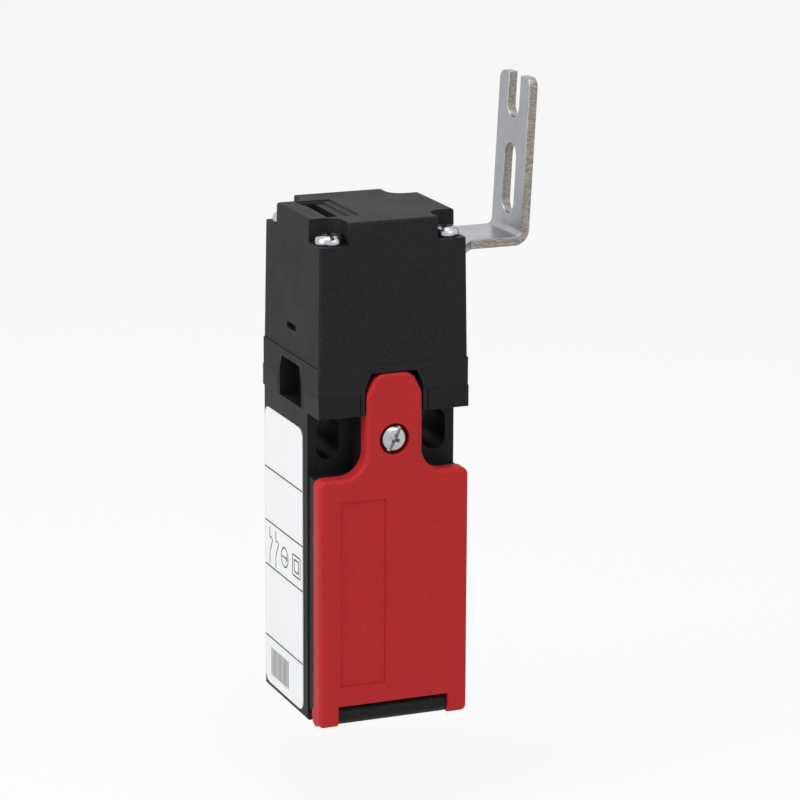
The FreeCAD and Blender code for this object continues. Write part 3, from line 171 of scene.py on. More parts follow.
class InterlockColours(bpy.types.PropertyGroup):
    head: shade("Head", "Black moulding of the head", 26, 26, 29)
    body: shade("Body", "Black moulding of the body", 20, 20, 22)
    lid: shade("Lid", "Red moulding of the lid", 174, 39, 40)
    fleck: shade("Fleck", "Pale flecks in the black mouldings", 84, 84, 88)
    steel: shade("Key steel", "Stainless sheet of the key", 164, 166, 170)
    cut_dark: shade("Cut edge, dark", "Dark streaks on the key's cut edges", 92, 88, 84)
    cut_pale: shade("Cut edge, pale", "Pale streaks on the key's cut edges", 168, 161, 155)
    rubbed: shade("Rubbed edge", "Bright corners of the key", 226, 226, 224)
    zinc: shade("Zinc", "Bright plating of the screws", 188, 189, 192)
    spring: shade("Spring steel", "Drawn wire and ground pins", 178, 179, 180)
    cam: shade("Cam", "Natural moulding of the cam wheel", 226, 220, 202)
    block: shade("Contact block", "Dark moulding of the contact block", 58, 60, 64)
    carrier: shade("Carrier", "Pale moulding of plunger and carrier", 214, 206, 186)
    brass: shade("Brass", "Turned brass inserts", 196, 160, 92)
    copper: shade("Contact strip", "Plated copper alloy strip", 200, 150, 112)
    silver: shade("Contact tip", "Silver alloy tips", 222, 221, 216)
    rubber: shade("Seal", "Black seal rubber", 32, 32, 33)
    film: shade("Label film", "White label film", 238, 239, 240)
    ink: shade("Label ink", "Black print on the label", 30, 30, 32)


def sizes():
    return bpy.context.scene.interlock_sizes


def colours():
    return bpy.context.scene.interlock_colours


# ---------------------------------------------------------------- materials


class Value:
    """An output socket; sums can be written with those that give numbers."""

    def __init__(self, nodes, socket):
        self.nodes = nodes
        self.socket = socket

    def join(self, operation, other, flip=False):
        first, second = (other, self) if flip else (self, other)
        return self.nodes.node("Math", {"operation": operation}, {0: first, 1: second})

    def __add__(self, other):
        return self.join("ADD", other)

    def __sub__(self, other):
        return self.join("SUBTRACT", other)

    def __rsub__(self, other):
        return self.join("SUBTRACT", other, True)

    def __mul__(self, other):
        return self.join("MULTIPLY", other)

    __radd__ = __add__


class Nodes:
    """The nodes of a material or a world: makes them and links their sockets."""

    def __init__(self, owner):
        self.owner = owner
        owner.use_nodes = True
        self.tree = owner.node_tree
        self.tree.nodes.clear()

    def node(self, kind, settings=None, values=None, output=0):
        """Makes a node from its settings and its inputs, and gives one of its outputs."""
        made = self.tree.nodes.new("ShaderNode" + kind)
        for name, value in (settings or {}).items():
            setattr(made, name, value)
        for name, value in (values or {}).items():
            socket = made.inputs[name]
            if isinstance(value, Value):
                self.tree.links.new(value.socket, socket)
            elif socket.type == "RGBA":
                socket.default_value = (*value[:3], 1)
            else:
                socket.default_value = value
        return Value(self, made.outputs[output]) if made.outputs else None

    def close(self, kind, shader):
        """Links the finished shader to the output, and gives the material or world."""
        self.node(kind, None, {"Surface": shader})
        return self.owner


class Paint(Nodes):
    """A material whose patterns lie on the piece itself."""

    def __init__(self, name):
        super().__init__(bpy.data.materials.new(name))
        self.place = self.node("TexCoord", output="Object")

    def noise(self, scale, detail=2.0, rough=0.5, stretch=None):
        """Noise with cells of about 1/scale metres, stretched along an axis if asked."""
        where = self.place
        if stretch:
            where = self.node("Mapping", None, {"Vector": where, "Scale": stretch})
        return self.node("TexNoise", None, {
            "Vector": where, "Scale": scale, "Detail": detail, "Roughness": rough})

    def cells(self, scale):
        return self.node("TexVoronoi", None, {"Vector": self.place, "Scale": scale})

    def flecks(self, scale, share):
        """Small round spots in a share of the cells of a pattern."""
        slanted = self.node("Mapping", None, {
            "Vector": self.place, "Rotation": (0.7, 0.4, 0.9)})
        values = {"Vector": slanted, "Scale": scale}
        away = self.node("TexVoronoi", None, values)
        pick = self.node("TexVoronoi", None, values, "Color")
        level = self.node("RGBToBW", None, {"Color": pick})
        return self.ramp(away, 0.36, 0.2) * self.ramp(level, 1 - share, 1.05 - share)

    def ramp(self, factor, low, high):
        """Zero below low, one above high, straight between them."""
        return self.node("MapRange", {"clamp": True}, {
            "Value": factor, "From Min": low, "From Max": high})

    def blend(self, factor, first, second):
        return self.node("Mix", {"data_type": "RGBA"}, {0: factor, 6: first, 7: second}, 2)

    def edges(self, radius):
        """One along sharp edges, zero on flats."""
        rounded = self.node("Bevel", {"samples": 6}, {"Radius": radius})
        plain = self.node("NewGeometry", output="Normal")
        across = self.node("VectorMath", {"operation": "DOT_PRODUCT"}, {
            0: rounded, 1: plain}, "Value")
        return self.ramp(1 - across, 0.01, 0.16)

    def painted_hollow_shade(self, reach):
        """Mask for painted shade: one deep in recesses, zero in the open."""
        open_share = self.node("AmbientOcclusion", {"samples": 16}, {"Distance": reach}, "AO")
        return self.ramp(1 - open_share, 0.25, 0.9)

    def bump(self, height, strength, distance):
        return self.node("Bump", None, {
            "Height": height, "Strength": strength, "Distance": distance})

    def finish(self, values):
        return self.close("OutputMaterial", self.node("BsdfPrincipled", None, values))


def scaled(colour, by):
    return tuple(min(1.0, v * by) for v in colour[:3])


def moulded(name, colour, grain, rough, worn, deep, flecks=0.0, gloss=0.5):
    """A textured moulding: mottled colour, pebble grain, light flecks and rubbed edges.

    grain is the number of pebbles in a metre, worn how much lighter the edges are, deep
    the relief of the grain and flecks how much the flecks show.
    """
    paint = Paint(name)
    cloud = paint.noise(90, 3)
    pebble = paint.noise(grain, 3, 0.6)
    fine = paint.cells(grain * 1.4)
    body = paint.blend(paint.ramp(cloud, 0.3, 0.7), scaled(colour, 0.95), scaled(colour, 1.05))
    body = paint.blend(paint.ramp(pebble, 0.35, 0.75) * 0.5, body, scaled(colour, 1.6))
    if flecks:
        body = paint.blend(paint.flecks(3300, 0.34) * flecks, body, colours().fleck)
    rubbed = paint.edges(0.4 * MM) * paint.ramp(paint.noise(420, 4), 0.25, 0.65)
    body = paint.blend(rubbed * 0.8, body, scaled(colour, worn))
    dust = paint.noise(55, 5, 0.65)
    surface = pebble * 0.75 + fine * 0.5
    return paint.finish({
        "Base Color": body,
        "Roughness": rough + paint.ramp(dust, 0.3, 0.8) * 0.14 - rubbed * 0.12,
        "Specular IOR Level": gloss,
        "Normal": paint.bump(surface, 0.55, deep),
    })


def metal(name, colour, rough, tarnish, streak=(1, 1, 1)):
    """A metal: drawn or rolled streaks, tarnish, brighter edges and painted shade darkening
    its recesses.

    tarnish is how light the stains are, and streak how dense the lines are along each axis.
    """
    paint = Paint(name)
    stain = paint.noise(160, 4, 0.6)
    lines = paint.noise(900, 3, 0.6, streak)
    body = paint.blend(paint.ramp(stain, 0.35, 0.8), colour, scaled(colour, tarnish))
    bright = paint.edges(0.22 * MM)
    body = paint.blend(bright * 0.7, body, scaled(colour, 1.15))
    # Painted shade: recesses are darkened towards a near-black tone of the metal.
    body = paint.blend(paint.painted_hollow_shade(0.8 * MM) * 0.6, body, scaled(colour, 0.12))
    return paint.finish({
        "Base Color": body,
        "Metallic": 1.0,
        "Roughness": rough + paint.ramp(lines, 0.3, 0.75) * 0.12 - bright * 0.08,
        "Normal": paint.bump(lines, 0.35, 0.004 * MM),
    })


def key_steel(name, c):
    """Rolled stainless sheet: satin faces, and cut edges with streaks across the sheet."""
    paint = Paint(name)
    rolled = paint.noise(700, 4, 0.6, (0.6, 9, 0.6))
    mottled = paint.noise(260, 5, 0.62)
    sheared = paint.noise(1000, 4, 0.65, (1.2, 0.15, 4))
    facing = paint.node("NewGeometry", output="Normal")
    sideways = paint.node("VectorMath", {"operation": "DOT_PRODUCT"}, {
        0: facing, 1: (0, 1, 0)}, "Value")
    cut = paint.ramp(paint.node("Math", {"operation": "ABSOLUTE"}, {0: sideways}), 0.5, 0.8)
    face = paint.blend(paint.ramp(mottled, 0.35, 0.75), c.steel, scaled(c.steel, 0.86))
    edge = paint.blend(paint.ramp(sheared, 0.3, 0.7), c.cut_dark, c.cut_pale)
    body = paint.blend(cut, face, edge)
    bright = paint.edges(0.3 * MM)
    body = paint.blend(bright * 0.6, body, c.rubbed)
    grain = rolled * (1 - cut) + sheared * cut * 2.2
    return paint.finish({
        "Base Color": body,
        "Metallic": 1.0,
        "Roughness": 0.27 + paint.ramp(mottled, 0.3, 0.8) * 0.12 + cut * 0.16 - bright * 0.06,
        "Normal": paint.bump(grain, 0.4, 0.012 * MM),
    })


def film(name, colour):
    """Label film: white, faintly mottled, slightly soiled at its border."""
    paint = Paint(name)
    cloud = paint.noise(70, 3)
    soil = paint.edges(0.6 * MM) * paint.ramp(paint.noise(300, 3), 0.3, 0.7)
    body = paint.blend(paint.ramp(cloud, 0.3, 0.8), colour, scaled(colour, 0.965))
    body = paint.blend(soil * 0.5, body, scaled(colour, 0.7))
    return paint.finish({
        "Base Color": body,
        "Roughness": 0.34 + paint.ramp(paint.noise(500, 3), 0.3, 0.8) * 0.1,
        "Normal": paint.bump(paint.noise(1500, 2), 0.15, 0.01 * MM),
    })


FINISHES = {}


def make_finishes():
    c = colours()
    # Colour, grain, roughness, worn edges, relief, flecks and gloss.
    mouldings = {
        "head_plastic": (c.head, 3600, 0.5, 2.6, 0.12 * MM, 0.34, 0.13),
        "body_plastic": (c.body, 2600, 0.45, 2.6, 0.05 * MM, 0.3, 0.14),
        "lid_plastic": (c.lid, 2800, 0.45, 1.12, 0.08 * MM, 0.0, 0.13),
        "cam_plastic": (c.cam, 1800, 0.36, 1.1, 0.01 * MM),
        "block_plastic": (c.block, 2200, 0.45, 1.8, 0.02 * MM, 0.15),
        "carrier_plastic": (c.carrier, 1800, 0.38, 1.1, 0.01 * MM),
        "seal_rubber": (c.rubber, 1500, 0.62, 1.5, 0.02 * MM, 0.0, 0.3),
        "label_ink": (c.ink, 3000, 0.5, 1.2, 0.004 * MM, 0.0, 0.3),
    }
    # Colour, roughness, tarnish and streaks.
    metals = {
        "zinc_steel": (c.zinc, 0.17, 0.8),
        "plain_steel": (c.spring, 0.24, 0.8, (8, 1, 1)),
        "brass_metal": (c.brass, 0.26, 0.75, (1, 1, 10)),
        "contact_copper": (c.copper, 0.28, 0.78, (10, 1, 1)),
        "silver_tip": (c.silver, 0.3, 0.86),
    }
    for name, values in mouldings.items():
        FINISHES[name] = moulded(name, *values)
    for name, values in metals.items():
        FINISHES[name] = metal(name, *values)
    FINISHES["stainless"] = key_steel("stainless", c)
    FINISHES["label_film"] = film("label_film", c.film)


def finish_of(slot):
    if not FINISHES:
        make_finishes()
    return FINISHES[slot]


# ---------------------------------------------------------------- modelling by hand


def clear():
    """Object mode with nothing selected."""
    if bpy.context.object and bpy.context.object.mode != "OBJECT":
        bpy.ops.object.mode_set(mode="OBJECT")
    bpy.ops.object.select_all(action="DESELECT")


def pick(*objects):
    """Object mode with only these selected, the first one active."""
    clear()
    for obj in objects:
        obj.select_set(True)
    bpy.context.view_layer.objects.active = objects[0]


def begin(kind, **words):
    """Adds a primitive and leaves it alone selected, its place in its mesh."""
    clear()
    getattr(bpy.ops.mesh, "primitive_" + kind + "_add")(**words)
    bpy.ops.object.transform_apply(location=True, rotation=True, scale=True)
    return bpy.context.object


def edit(obj, mode="FACE"):
    """Edit mode on one object with nothing selected."""
    pick(obj)
    bpy.ops.object.mode_set(mode="EDIT")
    bpy.ops.mesh.select_mode(type=mode)
    bpy.ops.mesh.select_all(action="DESELECT")


def choose(obj, test, kind="polygons"):
    """Selects the faces, edges or vertices that pass a test; comes back to edit mode."""
    bpy.ops.mesh.select_all(action="DESELECT")
    bpy.ops.object.mode_set(mode="OBJECT")
    for item in getattr(obj.data, kind):
        item.select = bool(test(item))
    bpy.ops.object.mode_set(mode="EDIT")


def edge_ends(obj, edge):
    return [obj.data.vertices[v].co for v in edge.vertices]


def tidy(obj, angle):
    """Merges doubles, points the faces outwards and smooths over edges up to an angle."""
    edit(obj)
    bpy.ops.mesh.select_all(action="SELECT")
    bpy.ops.mesh.remove_doubles(threshold=0.001 * MM)
    bpy.ops.mesh.normals_make_consistent(inside=False)
    pick(obj)
    bpy.ops.object.shade_smooth_by_angle(angle=math.radians(angle))
    return obj


def apply(obj, kind, **words):
    pick(obj)
    made = obj.modifiers.new("step", kind)
    for name, value in words.items():
        setattr(made, name, value)
    bpy.ops.object.modifier_apply(modifier=made.name)
    return obj


def carve(obj, cutter):
    apply(obj, "BOOLEAN", operation="DIFFERENCE", object=cutter, solver="EXACT")
    bpy.data.objects.remove(cutter, do_unlink=True)


def unite(name, objects):
    pick(*objects)
    if len(objects) > 1:
        bpy.ops.object.join()
    made = bpy.context.object
    made.name = name
    made.data.name = name
    return made


def place(obj, spot, axis=UP, turn=0.0):
    """Moves a mesh modelled upright at the origin to a spot, its +Z along an axis."""
    lean = UP.rotation_difference(axis).to_matrix().to_4x4()
    obj.data.transform(Matrix.Translation(spot) @ lean @ Matrix.Rotation(turn, 4, "Z"))


def spread(obj, name, spots, axis=UP, turns=(0.0,) * 4):
    """Copies one finished mesh to each of up to four spots, joined into one piece."""
    made = []
    for spot, turn in zip(spots, turns):
        copy = obj.copy()
        copy.data = obj.data.copy()
        bpy.context.collection.objects.link(copy)
        place(copy, spot, axis, turn)
        made.append(copy)
    bpy.data.objects.remove(obj, do_unlink=True)
    return unite(name, made)


def even(obj):
    """Shades flats flat and small roundings smooth, going by the area of the faces."""
    pick(obj)
    bpy.ops.mesh.customdata_custom_splitnormals_clear()
    bpy.ops.object.shade_smooth_by_angle(angle=math.radians(30))
    return apply(obj, "WEIGHTED_NORMAL", weight=100, keep_sharp=True)


def roomy(obj, width):
    """Indices of the selected edges that have room for a bevel on both sides."""
    sharp = [(e.index, *edge_ends(obj, e)) for e in obj.data.edges if e.select]
    long = [(n, a, b) for n, a, b in sharp if (b - a).length > width * 4]
    crowded = set()
    for n, a, b in long:
        centre = (a + b) / 2
        for other, start, end in long:
            run = end - start
            share = (centre - start).dot(run) / run.length_squared
            away = (centre - start - run * share).length
            if other != n and 0.02 < share < 0.98 and away < width * 2.05:
                crowded.add(n)
                break
    return {n for n, a, b in sharp} - crowded


def traced(node, name, width, steps=2):
    """A copy of a solid with its sharp edges broken by a fine rounding."""
    solid = frame["nodes"][node]
    made = solid.copy()
    made.data = solid.data.copy()
    for key in list(made.keys()):
        del made[key]
    bpy.context.collection.objects.link(made)
    made.parent = None
    made.matrix_world = Matrix.Identity(4)
    made.name = made.data.name = name
    edit(made, "VERT")
    bpy.ops.mesh.select_all(action="SELECT")
    bpy.ops.mesh.remove_doubles(threshold=0.002 * MM)
    bpy.ops.mesh.dissolve_limited(angle_limit=math.radians(0.4))
    edit(made, "EDGE")
    bpy.ops.mesh.edges_select_sharp(sharpness=SHARP)
    bpy.ops.object.mode_set(mode="OBJECT")
    keep = roomy(made, width)
    bpy.ops.object.mode_set(mode="EDIT")
    choose(made, lambda e: e.index in keep, "edges")
    bpy.ops.mesh.bevel(offset=width, segments=steps, clamp_overlap=False)
    bpy.ops.object.mode_set(mode="OBJECT")
    surface = BVHTree.FromPolygons([v.co for v in solid.data.vertices],
                                   [tuple(p.vertices) for p in solid.data.polygons])
    # No point may leave the solid's surface by more than a bevel does, or its box.
    low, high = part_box(node)
    for vertex in made.data.vertices:
        nearest, facing, _, away = surface.find_nearest(vertex.co)
        if away > width * 1.1 or (vertex.co - nearest).dot(facing) > width * 0.45:
            vertex.co = nearest
        vertex.co = [min(max(v, a), b) for v, a, b in zip(vertex.co, low, high)]
    return even(made)


def settle(obj, slot, body, *nodes, finish=None):
    """Gives a finished piece its material, body and the solids it stands for."""
    obj.data.materials.clear()
    obj.data.materials.append(finish_of(finish or slot))
    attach(obj, body)
    if nodes:
        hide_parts(*nodes)
    return obj


def wedge(wide, long, deep, level, taper, slant, turn=0.0):
    """A bar for cutting a recess; taper and slant narrow its foot along and across."""
    bar = begin("cube", size=1, location=(0, 0, 0))
    bar.data.transform(Matrix.Diagonal((long, wide, deep * 2, 1)))
    edit(bar, "VERT")
    choose(bar, lambda v: v.co.z < 0, "vertices")
    bpy.ops.transform.resize(value=(taper, slant, 1))
    bpy.ops.object.mode_set(mode="OBJECT")
    bar.data.transform(Matrix.Translation((0, 0, level)) @ Matrix.Rotation(turn, 4, "Z"))
    return bar


def close_ends(obj, angle):
    """Fills the open ends of a wound mesh and smooths it."""
    edit(obj, "EDGE")
    bpy.ops.mesh.select_non_manifold()
    bpy.ops.mesh.fill()
    return tidy(obj, angle)


def helix(radius, wire, low, high, turns, steps, flat):
    """A round wire wound about Z, with flat turns laid on each other at either end."""
    ring = begin("circle", vertices=10, radius=wire, location=(radius, 0, 0),
                 rotation=(math.pi / 2, 0, 0))
    count = int(steps * turns)
    rise = high - low
    apply(ring, "SCREW", axis="Z", angle=2 * math.pi * turns, screw_offset=rise,
          steps=count, render_steps=count, use_smooth_shade=True, use_merge_vertices=False)
    around = len(ring.data.vertices) // (count + 1)
    hold = flat / turns
    lift = 2.1 * wire / rise
    for vertex in ring.data.vertices:
        share = (vertex.index // around) / count
        offset = vertex.co.z - share * rise
        eased = min(max((share - hold) / (1 - 2 * hold), 0.0), 1.0)
        ends = min(share / hold, 1.0) * lift + max((share - 1 + hold) / hold, 0.0) * lift
        vertex.co.z = low + (ends + eased * (1 - 2 * lift)) * rise + offset
    return close_ends(ring, 60)


def tooth(crest, root, pitch, turns, steps):
    """A screw thread: a triangle wound upwards about Z from zero."""
    made = begin("circle", vertices=3, radius=pitch * 0.5, rotation=(math.pi / 2, 0, 0))
    profile = ((crest, 0.0), (root, 0.42), (root, -0.42))
    for corner, (out, up) in zip(made.data.vertices, profile):
        corner.co = (out, 0, up * pitch)
    apply(made, "SCREW", axis="Z", angle=2 * math.pi * turns, screw_offset=turns * pitch,
          steps=turns * steps, render_steps=turns * steps, use_merge_vertices=False)
    return close_ends(made, 20)


def push(distance, narrow=1.0):
    """Extrudes the selected face downwards, and narrows it."""
    bpy.ops.mesh.extrude_region_move(TRANSFORM_OT_translate={"value": (0, 0, -distance)})
    if narrow != 1:
        bpy.ops.transform.resize(value=(narrow, narrow, 1))


def pan_screw(cap, tall, core, long, recess, threaded, slotted=True, sides=32):
    """A pan head on a shank, head seat at zero and head up, with its thread at the tip.

    cap and core are the radii of head and shank, tall and long their lengths, and
    threaded the length of the thread.
    """
    pitch = sizes().pitch
    root = core * 0.84
    crown, rim = tall * 0.62, tall * 0.1
    runout, tip, both = pitch * 0.3, pitch * 0.8, pitch * 1.1
    screw = begin("cylinder", vertices=sides, radius=cap, depth=tall,
                  location=(0, 0, tall / 2))
    edit(screw, "EDGE")
    choose(screw, lambda e: all(p.z > tall / 2 for p in edge_ends(screw, e)), "edges")
    bpy.ops.mesh.bevel(offset=crown, segments=5, profile=0.55)
    choose(screw, lambda e: all(p.z < rim for p in edge_ends(screw, e)), "edges")
    bpy.ops.mesh.bevel(offset=rim, segments=2)
    bpy.ops.mesh.select_mode(type="FACE")
    choose(screw, lambda f: f.normal.z < -0.95)
    bpy.ops.mesh.inset(thickness=cap - rim - core)
    push(long - threaded)
    push(runout, root / core)
    push(threaded - both)
    push(tip, 0.6)
    for turn in (0.0, math.pi / 2):
        carve(screw, wedge(cap * 0.34, cap * 1.2, recess, tall, 0.42, 0.6, turn))
    if slotted:
        carve(screw, wedge(cap * 0.32, cap * 3, recess * 0.6, tall, 1, 0.9))
    tidy(screw, 32)
    turns = int((threaded - 2 * tip) / pitch)
    thread = tooth(core, root * 0.97, pitch, turns, 20)
    thread.data.transform(Matrix.Translation((0, 0, -long + pitch)))
    return unite("screw", [screw, thread])


# ---------------------------------------------------------------- operators


def middle(node):
    low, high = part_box(node)
    return (low + high) / 2


def corners(low, high, inset, level):
    """The four corners of a box seen from above, an inset inside it, at one level."""
    return [Vector((x, y, level)) for x in (low.x + inset, high.x - inset)
            for y in (low.y + inset, high.y - inset)]


class FinishOperator(bpy.types.Operator):
    """Give every solid of the frame the finish of its material slot"""

    bl_idname = "interlock.finishes"
    bl_label = "Finishes"

    def execute(self, context):
        make_finishes()
        for part in frame["record"]["subparts"]:
            solid = frame["nodes"][part["node"]]
            for spot in solid.material_slots:
                spot.material = finish_of(part["material_slot"])
            if not solid.material_slots:
                raise RuntimeError(part["node"] + " has no material slot")
        return {"FINISHED"}


class MouldingOperator(bpy.types.Operator):
    """The head, body and lid mouldings, their sharp edges softened as a mould leaves them"""

    bl_idname = "interlock.mouldings"
    bl_label = "Head, body and lid"

    def thread(self):
        """A helical cutter for the conduit entry's internal thread."""
        made = tooth(ENTRY_CREST, ENTRY_CORE, ENTRY_PITCH, 6, 48)
        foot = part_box("body_housing")[0].z - 0.3 * MM
        made.data.transform(Matrix.Translation((0, ENTRY_Y, foot)))
        return made

    def execute(self, context):
        head = traced("head_housing", "head_moulding", HEAD_EDGE)
        settle(head, "head_plastic", "housing", "head_housing")
        body = traced("body_housing", "body_moulding", BODY_EDGE)
        carve(body, self.thread())
        even(body)
        settle(body, "body_plastic", "housing", "body_housing")
        lid = traced("front_lid", "lid_moulding", LID_EDGE)
        settle(lid, "lid_plastic", "lid", "front_lid")
        return {"FINISHED"}


class KeyOperator(bpy.types.Operator):
    """The steel key, its blanked edges slightly rolled"""

    bl_idname = "interlock.key"
    bl_label = "Key"

    def execute(self, context):
        key = traced("actuator_key", "key_blank", KEY_EDGE, 3)
        settle(key, "stainless", "key", "actuator_key")
        return {"FINISHED"}


class HeadScrewOperator(bpy.types.Operator):
    """Four long pan-head screws, with a combined cross and slot, that hold the head"""

    bl_idname = "interlock.head_screws"
    bl_label = "Head screws"

    def execute(self, context):
        s = sizes()
        low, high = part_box("head_screws")
        tall = 1.9 * MM
        seat = high.z - tall
        screw = pan_screw(s.head_cap, tall - CAP_SHY, s.head_shank, seat - low.z,
                          s.recess_deep, 8 * MM, sides=40)
        spots = corners(low, high, HEAD_SCREW_INSET, seat)
        made = spread(screw, "head_screws_turned", spots, UP, (1.45, 1.1, 1.0, 0.7))
        settle(made, "zinc_steel", "housing", "head_screws")
        return {"FINISHED"}


class LidScrewOperator(bpy.types.Operator):
    """The captive lid screw, with a combined cross and slot"""

    bl_idname = "interlock.lid_screw"
    bl_label = "Lid screw"

    def execute(self, context):
        low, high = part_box("lid_screw")
        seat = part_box("lid_screw_seal")[0].y
        screw = pan_screw(sizes().lid_cap, seat - low.y - CAP_SHY, LID_SHANK, high.y - seat,
                          1.1 * MM, 3 * MM, sides=40)
        spot = Vector((0, seat, middle("lid_screw").z))
        made = spread(screw, "lid_screw_turned", [spot], OUT, [1.1])
        settle(made, "zinc_steel", "lid", "lid_screw")
        return {"FINISHED"}


class BlockScrewOperator(bpy.types.Operator):
    """The terminal screws and the two screws that hold the contact block"""

    bl_idname = "interlock.block_screws"
    bl_label = "Block and terminal screws"

    def execute(self, context):
        low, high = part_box("terminal_screws")
        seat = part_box("terminal_clamps")[0].y
        screw = pan_screw(sizes().terminal_cap, seat - low.y - CAP_SHY, TERMINAL_SHANK,
                          high.y - seat, 1.0 * MM, 3 * MM)
        x = high.x - TERMINAL_INSET
        spots = [Vector((side * x, seat, z)) for z in (high.z - TERMINAL_INSET,
                                                      low.z + TERMINAL_INSET)
                 for side in (-1, 1)]
        made = spread(screw, "terminal_screws_turned", spots, OUT, (0.3, 1.2, 2.0, 0.8))
        settle(made, "zinc_steel", "housing", "terminal_screws")

        low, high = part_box("block_screws")
        tall = 1.6 * MM
        seat = low.y + tall
        screw = pan_screw(BLOCK_CAP, tall - CAP_SHY, BLOCK_SHANK, high.y - seat, 0.9 * MM,
                          4 * MM, slotted=False)
        x = high.x - BLOCK_SCREW_INSET
        spots = [Vector((side * x, seat, middle("block_screws").z)) for side in (-1, 1)]
        made = spread(screw, "block_screws_turned", spots, OUT, (0.5, 0.1))
        settle(made, "zinc_steel", "housing", "block_screws")
        return {"FINISHED"}


class SpringOperator(bpy.types.Operator):
    """The carrier's return spring and the two bridge springs, wound with closed ends"""

    bl_idname = "interlock.springs"
    bl_label = "Springs"

    def execute(self, context):
        low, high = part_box("return_spring")
        centre = middle("return_spring")
        wire = 0.24 * MM
        spring = helix((high.x - low.x) / 2 - wire, wire, SPRING_FOOT + wire,
                       high.z - wire, 6.5, 32, 1.0)
        spring.data.transform(Matrix.Translation((centre.x, centre.y, 0)))
        spring.name = spring.data.name = "return_spring_wound"
        settle(spring, "plain_steel", "housing", "return_spring")
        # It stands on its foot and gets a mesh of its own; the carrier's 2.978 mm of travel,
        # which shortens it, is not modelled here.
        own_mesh(spring)

        low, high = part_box("bridge_springs")
        wire = 0.19 * MM
        tall = 3.0 * MM
        made = [helix((high.x - low.x) / 2 - wire, wire, top - tall + wire, top - wire,
                      4, 28, 0.8) for top in (high.z, low.z + tall)]
        coils = unite("bridge_springs_wound", made)
        coils.data.transform(Matrix.Translation((0, middle("bridge_springs").y, 0)))
        settle(coils, "plain_steel", "carrier", "bridge_springs")
        return {"FINISHED"}


class InsertOperator(bpy.types.Operator):
    """Knurled brass inserts for the head screws and the lid screw"""

    bl_idname = "interlock.inserts"
    bl_label = "Brass inserts"

    def sleeve(self, outer, long):
        made = begin("cylinder", vertices=40, radius=outer, depth=long,
                     location=(0, 0, long / 2), end_fill_type="NOTHING")
        edit(made)
        choose(made, lambda f: f.index % 2 == 0)
        bpy.ops.mesh.inset(thickness=0.06 * MM, depth=-0.09 * MM, use_individual=True)
        apply(made, "SOLIDIFY", thickness=outer - SLEEVE_BORE, offset=-1, use_rim=True)
        return tidy(made, 25)

    def execute(self, context):
        low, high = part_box("head_inserts")
        sleeve = self.sleeve(INSERT_INSET - SLEEVE_SHY, high.z - low.z)
        spots = corners(low, high, INSERT_INSET, low.z)
        made = spread(sleeve, "head_inserts_knurled", spots)
        settle(made, "brass_metal", "housing", "head_inserts")

        low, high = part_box("lid_insert")
        sleeve = self.sleeve((high.x - low.x) / 2 - SLEEVE_SHY, high.y - low.y)
        spot = Vector((0, high.y, middle("lid_insert").z))
        made = spread(sleeve, "lid_insert_knurled", [spot], OUT)
        settle(made, "brass_metal", "housing", "lid_insert")
        return {"FINISHED"}


class LabelPrintOperator(bpy.types.Operator):
    """The generic print on the side label: rules and contact symbols, no words"""

    bl_idname = "interlock.label_print"
    bl_label = "Label print"

    def spot(self, across, down):
        """A place on the label, in millimetres from its upper rear corner."""
        low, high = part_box("nameplate")
        return low.x, high.y - across * MM, high.z - down * MM

    def bar(self, across, down, wide, tall, turn=0.0):
        """A flat bar about a place on the label, its sides in millimetres."""
        made = begin("plane", size=1, location=(0, 0, 0), rotation=(0, -math.pi / 2, 0))
        made.data.transform(Matrix.Translation(self.spot(across, down))
                            @ Matrix.Rotation(turn, 4, "X")
                            @ Matrix.Diagonal((1, wide * MM, tall * MM, 1)))
        return made

    def ring(self, across, down, radius, wide):
        made = begin("circle", vertices=48, radius=radius * MM, fill_type="NGON",
                     rotation=(0, -math.pi / 2, 0), location=self.spot(across, down))
        edit(made)
        bpy.ops.mesh.select_all(action="SELECT")
        bpy.ops.mesh.inset(thickness=wide * MM)
        bpy.ops.mesh.delete(type="FACE")
        bpy.ops.object.mode_set(mode="OBJECT")
        return made

    def contact(self, across, top, rule):
        """The symbol of a contact that opens: two leads, a slanted blade and its stop."""
        return [self.bar(across, top + 1.2, rule, 2.0),
                self.bar(across + 0.9, top + 3.7, rule, 3.4, 0.5),
                self.bar(across, top + 6.6, rule, 2.4),
                self.bar(across + 0.55, top + 2.2, 1.1, rule)]

    def arrow(self, across, level, rule):
        """The symbol of forced opening: an arrow in a ring."""
        return [self.ring(across, level, 2.1, rule),
                self.bar(across, level, 3.0, rule),
                self.bar(across + 1.1, level - 0.35, 1.0, rule, 0.7),
                self.bar(across + 1.1, level + 0.35, 1.0, rule, -0.7)]

    def squares(self, across, level, rule):
        """The symbol of double insulation: a square in a square."""
        made = []
        for half in (2.1, 1.2):
            for side in (-half, half):
                made.append(self.bar(across + side, level, rule, half * 2))
                made.append(self.bar(across, level + side, half * 2, rule))
        return made

    def execute(self, context):
        low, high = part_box("nameplate")
        wide = (high.y - low.y) / MM
        tall = (high.z - low.z) / MM
        rule = sizes().rule_wide / MM
        bits = [self.bar(wide / 2, tall * share, wide, rule) for share in RULES]
        top = tall * SYMBOLS_TOP
        level = top + 4.2
        for across in CONTACTS:
            bits += self.contact(across, top, rule)
        bits += self.arrow(ARROW, level, rule) + self.squares(SQUARES, level, rule)
        for n in range(STRIPES):
            bits.append(self.bar(STRIPES_FROM + n * STRIPE_STEP, tall * STRIPES_LEVEL,
                                 STRIPE_WIDE, tall * STRIPES_TALL))
        made = unite("label_print", bits)
        edit(made)
        bpy.ops.mesh.select_all(action="SELECT")
        bpy.ops.mesh.normals_make_consistent(inside=False)
        bpy.ops.object.mode_set(mode="OBJECT")
        apply(made, "SOLIDIFY", thickness=sizes().print_rise * 2, offset=0)
        tidy(made, 30)
        settle(made, "label_film", "housing", finish="label_ink")
        return {"FINISHED"}


